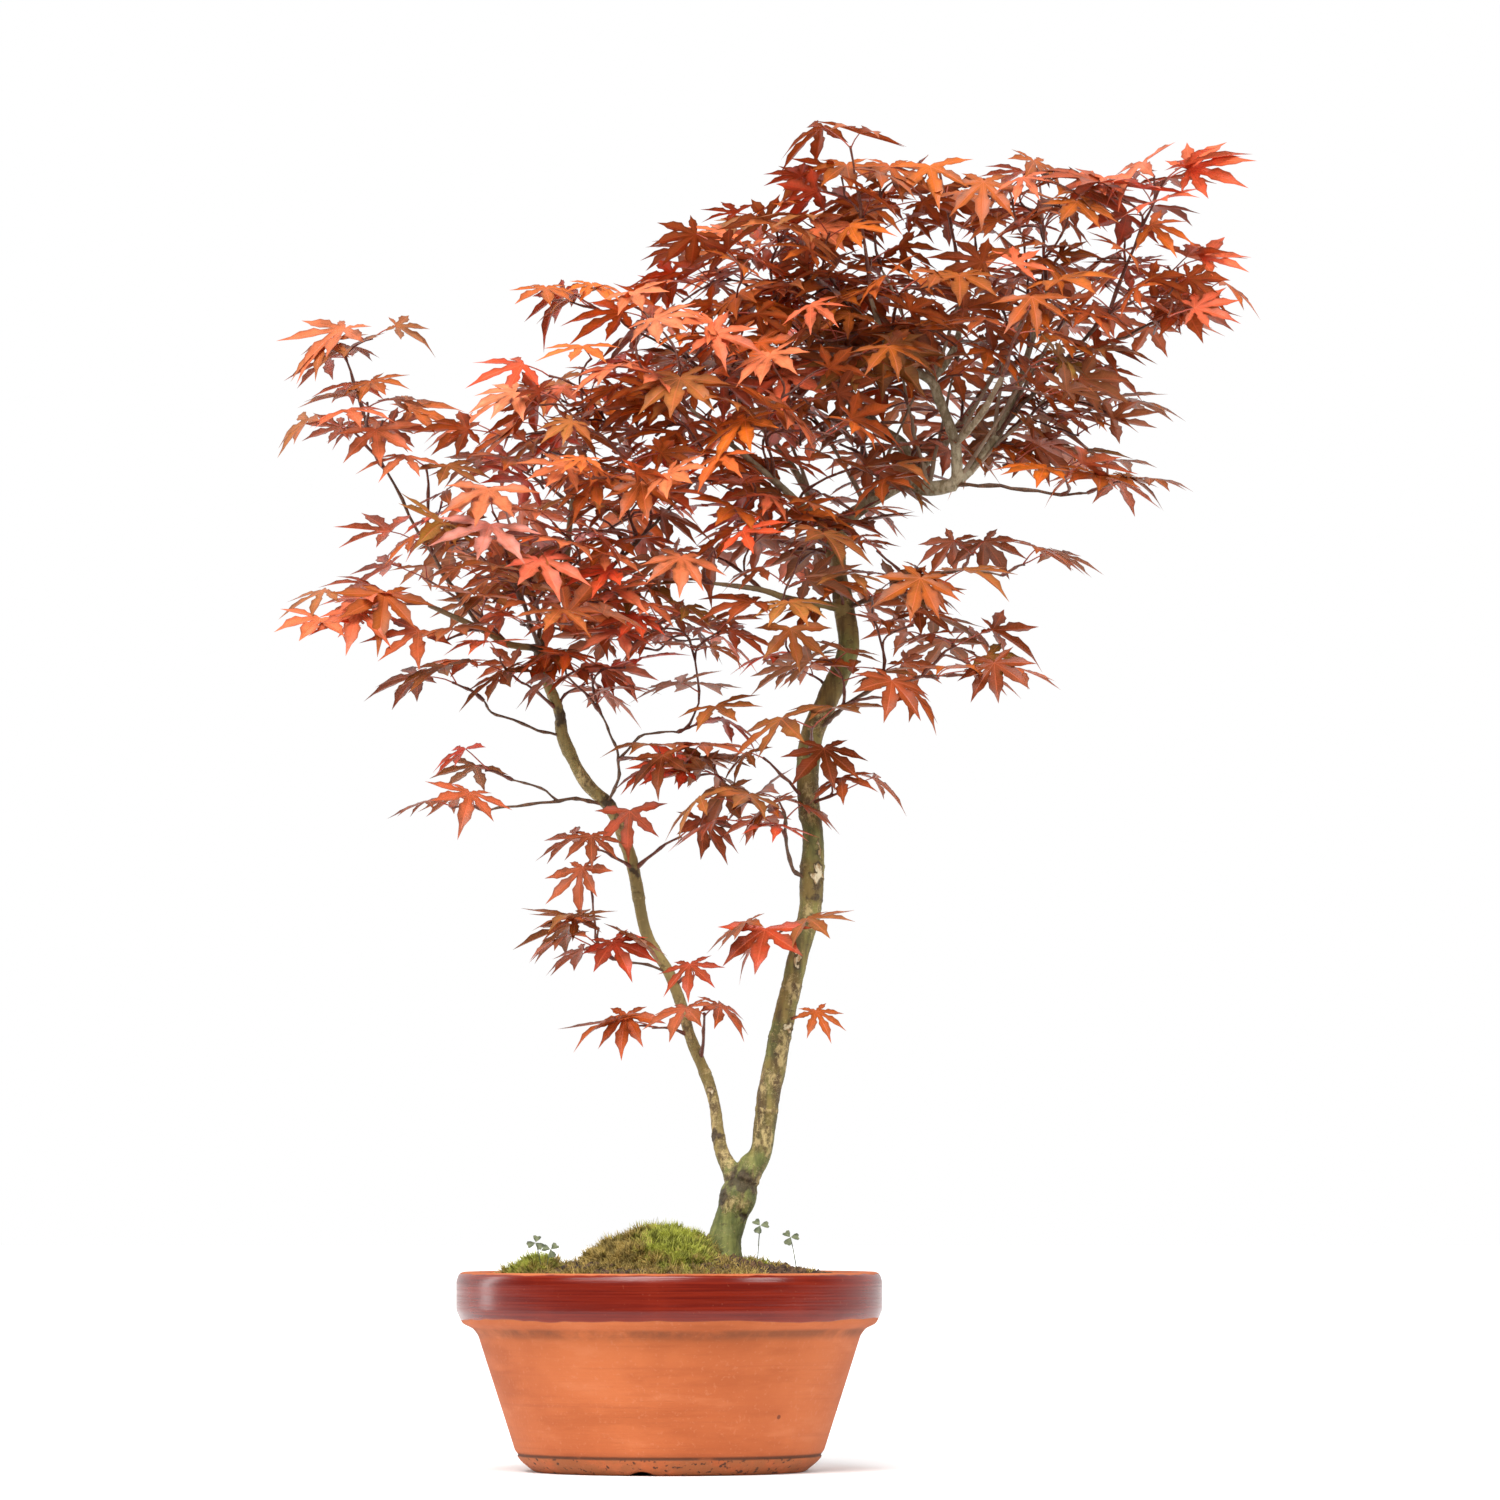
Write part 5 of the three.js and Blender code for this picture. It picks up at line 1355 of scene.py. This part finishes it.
def leafPattern(name, number):
    # one maple leaf of length 1: lobes with toothed edges and long tips, a little folded and hanging
    draw = drawsFrom(700 + number * 37)
    if number % 2:
        lobes = [(-93, 0.78), (-46, 0.94), (0, 1), (46, 0.94), (93, 0.78)]
    else:
        lobes = [(-121, 0.5), (-79, 0.8), (-39, 0.96), (0, 1), (39, 0.96), (79, 0.8), (121, 0.5)]
    # each lobe: its turn and reach, how it bends to the side, how it hangs and how its tip curls
    lobes = [(turn + 11 * (draw() - 0.5), reach * (0.88 + 0.22 * draw()), 0.22 * (draw() - 0.5),
              leaf["droop"] * (1.5 * draw() - 0.1), leaf["curl"] * (draw() - 0.3))
             for turn, reach in lobes]
    cup = 0.3 * (draw() - 0.45)
    thick = leaf["thickness"] / leaf["usualLength"] / 2
    broad = 1 + 0.3 * draw()
    # along a lobe: how far out the rib and the edge have their corners, and the half width there
    ribOut = (0.24, 0.35, 0.46, 0.57, 0.69, 0.82)
    edgeOut = ((0.34, 0.088), (0.44, 0.116), (0.54, 0.124), (0.65, 0.1), (0.78, 0.058))
    corners, ribs, fields = [], [], []

    def corner(turn, out, across, lobe, lift, rib, share):
        across += lobe[2] * out ** 2 * 0.4
        x = out * math.sin(turn) + across * math.cos(turn)
        y = out * math.cos(turn) - across * math.sin(turn)
        z = -lobe[3] * out ** 2 - lobe[4] * out ** 4 + leaf["fold"] * abs(across) + cup * abs(x) + lift
        corners.append((x, y, z))
        ribs.append(rib)
        fields.append((share, 1 - rib, 0))
        return len(corners) - 1

    flat = (0, 0, 0, 0.1, 0)
    middle = [corner(0, 0, 0, flat, lift, 1, 0) for lift in (thick, -thick)]
    stalkEnd = corner(0, -0.03, 0, flat, 0, 0.6, 0)
    notches = []
    for index in range(len(lobes) + 1):
        near = lobes[max(index - 1, 0)], lobes[min(index, len(lobes) - 1)]
        if near[0] is near[1]:
            turn, out = near[0][0] + (30 if index else -30), 0.1
        else:
            turn = (near[0][0] + near[1][0]) / 2
            out = (0.1 + 0.13 * min(near[0][1], near[1][1])) * (0.9 + 0.3 * draw())
        bend = (0, 0, 0, (near[0][3] + near[1][3]) / 2, 0)
        notches.append(corner(math.radians(turn), out, 0, bend, leaf["fold"] * 0.09, 0, 0.25))
    faces, under = [], []

    def addFace(upper, lower, hand):
        faces.append(upper if hand > 0 else tuple(reversed(upper)))
        faces.append(lower if hand < 0 else tuple(reversed(lower)))
        under.extend((0.0, 1.0))

    for index, lobe in enumerate(lobes):
        turn, reach = math.radians(lobe[0]), lobe[1]
        above, below = [[corner(turn, out * reach, 0, lobe, lift, 1, out) for out in ribOut]
                        for lift in (thick, -thick)]
        tip = corner(turn, reach, 0, lobe, 0, 0.5, 1)
        for hand, notch in ((1, notches[index + 1]), (-1, notches[index])):
            rim = [notch]
            for step, (out, wide) in enumerate(edgeOut):
                across = hand * reach * (wide * broad + leaf["tooth"] * (1 if step % 2 else -1))
                rim.append(corner(turn, out * reach, across, lobe, 0, 0, out))
            addFace((middle[0], notch, above[0]), (middle[1], notch, below[0]), hand)
            for step in range(5):
                addFace((above[step], rim[step], rim[step + 1], above[step + 1]),
                        (below[step], rim[step], rim[step + 1], below[step + 1]), hand)
            addFace((above[5], rim[5], tip), (below[5], rim[5], tip), hand)
    addFace((middle[0], notches[0], stalkEnd), (middle[1], notches[0], stalkEnd), 1)
    addFace((middle[0], stalkEnd, notches[-1]), (middle[1], stalkEnd, notches[-1]), 1)
    piece = meshPiece(name, corners, faces)
    setValues(piece, "rib", ribs)
    setValues(piece, "under", under, domain="FACE")
    setValues(piece, "field", fields, "FLOAT_VECTOR")
    onRim = [rib < 0.7 for rib in ribs]
    creased = [onRim[edge.vertices[0]] == onRim[edge.vertices[1]] for edge in piece.data.edges]
    setValues(piece, "sharp_edge", creased, "BOOLEAN", "EDGE")
    return piece


def leafTree():
    given = startTree("leaves on their stalks", Patterns="Collection", Finish="Material")
    points = given["Geometry"]
    turn = addNode(points, "FunctionNodeEulerToRotation", {"Euler": stored(points, "turn", "FLOAT_VECTOR")})
    return endTree(copiesAt(points, given, {
        "Instance Index": stored(points, "kind", "INT"), "Rotation": turn, "Scale": stored(points, "length"),
    }), given)


def tubeTree():
    # round tubes along lines of edges, as thick as each point says
    given = startTree("tubes along lines", Sides="Int", Finish="Material")
    lines = addNode(given["Geometry"], "GeometryNodeMeshToCurve", {"Mesh": given["Geometry"]})
    ring = addNode(lines, "GeometryNodeCurvePrimitiveCircle", {"Resolution": given["Sides"], "Radius": 1.0})
    tube = addNode(lines, "GeometryNodeCurveToMesh", {
        "Curve": lines, "Profile Curve": ring, "Fill Caps": True, "Scale": stored(lines, "girth"),
    })
    return endTree(addNode(tube, "GeometryNodeSetShadeSmooth", {"Geometry": tube}), given)


def twigMaterial():
    material, place = startMaterial("twig bark")
    speck = clouds(place, 520, 4, 0.6)
    colour = washes(reading(place, "tone", "Color"),
                    (between(speck, 0.45, 0.68), 0.55, (150, 104, 74)),
                    (between(clouds(place, 70), 0.5, 0.7), 0.4, (62, 30, 24)))
    return surfaced(material, colour, {"Roughness": 0.5, "Normal": relief(speck, 0.00015)})


def makeTwigs():
    corners, edges, girths, tones = [], [], [], []
    for places, radii, colour in twigLines:
        first, last = len(corners), len(places) - 1
        for index, (place, radius) in enumerate(zip(places, radii)):
            # a stalk stays where its leaf is, and has no buds
            loose = 1 - index / last if colour == stalkRed else 1
            corners.append(spot(*(place + twig["sway"] * loose * noise.noise_vector(place / 11))))
            bud = twig["bud"] if colour != stalkRed and index % 3 == 1 else 0
            girths.append(radius * (1 + bud) * mm)
        edges += [(first + index, first + index + 1) for index in range(last)]
        tones += [colour] * len(places)
    piece = meshPiece("twigs", corners, [], edges=edges)
    setValues(piece, "girth", girths)
    setValues(piece, "tone", tones, "FLOAT_COLOR")
    grow(piece, tubeTree(), {"Sides": twig["sides"], "Finish": twigMaterial()})
    settle(piece, "bark", *[name for name in frame["nodes"] if name.startswith("leafy_stem")])


# mauve is a pale pink that is partly a painted sheen, as seen on the upper faces of leaves
leafColours = {
    "orange": paint(194, 99, 22), "rust": paint(186, 90, 22), "coral": paint(250, 114, 76),
    "rose": paint(196, 104, 66), "maroon": paint(140, 62, 26), "brown": paint(156, 102, 50),
    "olive": paint(124, 96, 34), "mauve": paint(184, 122, 114), "scarlet": paint(218, 70, 38),
}
# the colours of the leaves in each part of the crown: its lowest x, its lowest z, its painted brightness
# (darker low down, as if shaded by the crown, and lighter in the crown's deep middle), and the shares
colourRules = [
    (250, 690, 0.95, {"coral": 2.6, "rust": 2.4, "orange": 2, "rose": 1.6, "maroon": 0.8}),
    (250, 560, 0.85, {"brown": 3, "rose": 3, "coral": 1, "rust": 2, "maroon": 1}),
    (90, 690, 0.9, {"orange": 6, "rust": 5, "rose": 0.6, "brown": 1}),
    (90, 560, 1.0, {"rust": 4, "maroon": 2.4, "brown": 4.6, "olive": 1, "orange": 0.8, "rose": 1}),
    (-50, 580, 1.24, {"orange": 4, "rust": 5, "coral": 1.2, "rose": 1.4, "brown": 2.5, "maroon": 0.8}),
    (80, 395, 0.82, {"brown": 4, "rust": 4, "maroon": 1.5, "olive": 0.5}),
    (-150, 480, 1.18, {"rose": 4, "rust": 4, "coral": 1.2, "brown": 3, "orange": 1.6, "mauve": 0.8,
                       "olive": 0.4, "scarlet": 0.6, "maroon": 0.6}),
    (-400, 480, 1.02, {"rose": 5, "brown": 2.4, "rust": 3, "coral": 0.8}),
    (-400, 395, 0.84, {"rose": 3, "brown": 5, "rust": 2, "maroon": 1, "olive": 0.6, "scarlet": 0.4}),
    (-400, 0, 0.68, {"brown": 2.4, "rose": 3, "scarlet": 1.4, "rust": 3}),
]


def leafColour(place, draw, chosen=None):
    paintedShading, shares = next(rule[2:] for rule in colourRules if place.x >= rule[0] and place.z >= rule[1])
    pick = draw() * sum(shares.values())
    for name, share in shares.items():
        pick -= share
        if pick <= 0:
            break
    # painted light and shade: the part's brightness, times a share that differs by chance from leaf to leaf
    light = paintedShading * (0.94 + 0.68 * draw())
    other = leafColours[list(shares)[int(draw() * len(shares)) % len(shares)]]
    main = leafColours[chosen or name]
    return [min(1, (0.8 * part + 0.2 * mixed) * light) for part, mixed in zip(main, other)]


def leafMaterial():
    material, place = startMaterial("maple leaf")
    tone, rib = reading(place, "tone", "Color"), reading(place, "rib")
    field = reading(place, "field", "Vector")
    blotch, tinge = clouds(place, 95, 4, 0.6), clouds(place, 38)
    # side veins run forward from the rib
    wave = calc("FRACT", times(plus(partOf(field, 0), times(partOf(field, 1), -0.12)), 15))
    veins = calc("MAXIMUM", times(between(wave, 0.2, 0.06), 0.4), times(between(rib, 0.84, 0.96), 0.75))
    colour = washes(
        tone,
        (between(blotch, 0.4, 0.66), 0.5, (140, 72, 18)),
        (between(tinge, 0.5, 0.7), 0.45, (82, 34, 16)),
        (between(tinge, 0.5, 0.34), 0.3, (212, 96, 52)),
        (reading(place, "under"), 0.25, (174, 96, 66)),
        (veins, 1.0, blend(0.5, tone, (228, 120, 80))),
        # blades darken towards their edges
        (between(rib, 0.55, 0.0), 0.4, (84, 36, 14)),
    )
    bumps = plus(times(veins, -1.2), times(clouds(place, 600, 2), 0.5))
    return surfaced(material, colour, {
        "Roughness": ranged(blotch, 0.34, 0.5), "Normal": relief(bumps, 0.00014), "Specular IOR Level": 0.4,
    }, 0.32, blend(1.0, colour, (255, 222, 190), "MULTIPLY"))


def makeLeaves():
    patterns = [leafPattern(f"leaf{number}", number) for number in range(leaf["patterns"])]
    collection = gather("leaf patterns", patterns)
    tree, finish = leafTree(), leafMaterial()
    middles = {None: None}
    for name in frame["nodes"]:
        if name.startswith("leafy_stem"):
            low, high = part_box(name)
            middles[int(name[-2:])] = ((low + high) / 2 - axis) / mm
    # a stem's leaves go together, so that one piece replaces the stem; others go by their own place
    groups = {}
    for pose, stem, seed in leafList:
        middle = middles[stem] or pose["base"]
        side = next(name for name, edge in leaf["sides"].items() if middle.x < edge)
        level = "mid" if middle.z < leaf["mid"] or side == "left" else "top"
        level = "low" if middle.z < leaf["low"] else level
        groups.setdefault(f"leaves_{side}_{level}", []).append((pose, stem, seed))
    for name, members in groups.items():
        turns, kinds, tones = [], [], []
        for pose, stem, seed in members:
            draw = drawsFrom(seed * 17 + 3)
            turns.append(Matrix((-pose["side"], pose["ahead"], pose["up"])).transposed().to_euler())
            kinds.append(int(draw() * leaf["patterns"]) % leaf["patterns"])
            tones.append(leafColour(pose["base"], draw, pose.get("colour")))
        piece = meshPiece(name, [spot(*pose["base"]) for pose, stem, seed in members], [])
        setValues(piece, "turn", turns, "FLOAT_VECTOR")
        setValues(piece, "length", [pose["length"] * mm for pose, stem, seed in members])
        setValues(piece, "kind", kinds, "INT")
        setValues(piece, "tone", tones, "FLOAT_COLOR")
        grow(piece, tree, {"Patterns": collection, "Finish": finish})
        stems = sorted({stem for pose, stem, seed in members if stem})
        settle(piece, "maple_leaf", *[f"leafy_stem_{stem:02d}" for stem in stems])
    discard(collection)


studio = {
    "distance": 4500,
    "eyeX": 48,
    "eyeHeight": 164,
    "aimHeight": 431,
    "frameWidth": 900,  # what the picture takes in at the tree
    "sensor": 36,
    "floor": 40,  # metres
    "floorColour": (0.84, 0.84, 0.84, 1),
    "floorFront": 0.55,  # metres; the floor ends here in front, so that the glaze doesn't mirror it
    "world": 0.9,  # the light it gives; the camera sees it as white
    "mirroredFront": 0.1,  # how bright the room in front looks where it is mirrored
    "sun": 3.4,
    "sunSpread": 34,  # degrees
    "sunHeading": (0.14, 0.62, -0.9),
    # each soft light: its place, its width and height in metres, and its power
    "left window": ((-1700, 700, 500), (0.3, 1.2), 7),
    "left soft box": ((-1500, -1800, 1900), (1.8, 0.5), 22),
    "right soft box": ((2000, -1300, 1700), (0.9, 0.5), 22),
}


def aimed(name, data, place, aim):
    # puts a light or the camera in its place, turned to its aim
    thing = bpy.data.objects.new(name, data)
    thing.location = place
    thing.rotation_euler = (aim - place).to_track_quat("-Z", "Y").to_euler()
    bpy.context.scene.collection.objects.link(thing)
    return thing


def makeRoom():
    half, front = studio["floor"] / 2, -studio["floorFront"]
    corners = [(-half, front, 0), (half, front, 0), (half, half, 0), (-half, half, 0)]
    floor = meshPiece("floor", corners, [(0, 1, 2, 3)])
    material = startMaterial("pale floor")[0]
    floor.data.materials.append(surfaced(material, studio["floorColour"], {"Roughness": 0.9}))
    world = bpy.data.worlds.new("white studio")
    world.use_nodes = True
    tree = world.node_tree
    tree.nodes.clear()
    behind = between(partOf(addNode(tree, "ShaderNodeTexCoord", output="Generated"), 1), -0.1, 0.6)
    mirrored = plus(ranged(behind, studio["mirroredFront"], 1.0), -studio["world"])
    glossy = addNode(tree, "ShaderNodeLightPath", output="Is Glossy Ray")
    seen = times(glossy.node.outputs["Is Camera Ray"], 1 - studio["world"])
    strength = plus(times(glossy, mirrored), studio["world"], seen)
    white = addNode(tree, "ShaderNodeBackground", {"Color": (1, 1, 1, 1), "Strength": strength})
    feed(tree.nodes.new("ShaderNodeOutputWorld").inputs["Surface"], white)
    bpy.context.scene.world = world


def makeLights():
    sun = bpy.data.lights.new("high soft light", "SUN")
    sun.energy = studio["sun"]
    sun.angle = math.radians(studio["sunSpread"])
    aimed(sun.name, sun, Vector(), Vector(studio["sunHeading"]))
    for name in ("left window", "left soft box", "right soft box"):
        place, size, power = studio[name]
        light = bpy.data.lights.new(name, "AREA")
        light.shape = "RECTANGLE"
        light.size, light.size_y = size
        light.energy = power
        aimed(name, light, spot(*place), spot(0, 0, 150))


def makeCamera():
    place = spot(studio["eyeX"], -studio["distance"], studio["eyeHeight"])
    aim = spot(studio["eyeX"], 0, studio["aimHeight"])
    camera = aimed("camera", bpy.data.cameras.new("camera"), place, aim)
    camera.data.sensor_width = studio["sensor"]
    camera.data.lens = studio["sensor"] * ((aim - place).length / mm) / studio["frameWidth"]
    camera.data.clip_end = 60
    bpy.context.scene.camera = camera
    bpy.context.scene.view_settings.view_transform = "Standard"
    print("studio: floor, lights and camera")


makePot()
makeNet()
scatter = scatterTree()
makeGround(scatter)
makeMoss(scatter)
makeSeedlings()
makeWood()
placeStems()
addSpray()
fillCrown()
makeTwigs()
makeLeaves()
makeRoom()
makeLights()
makeCamera()
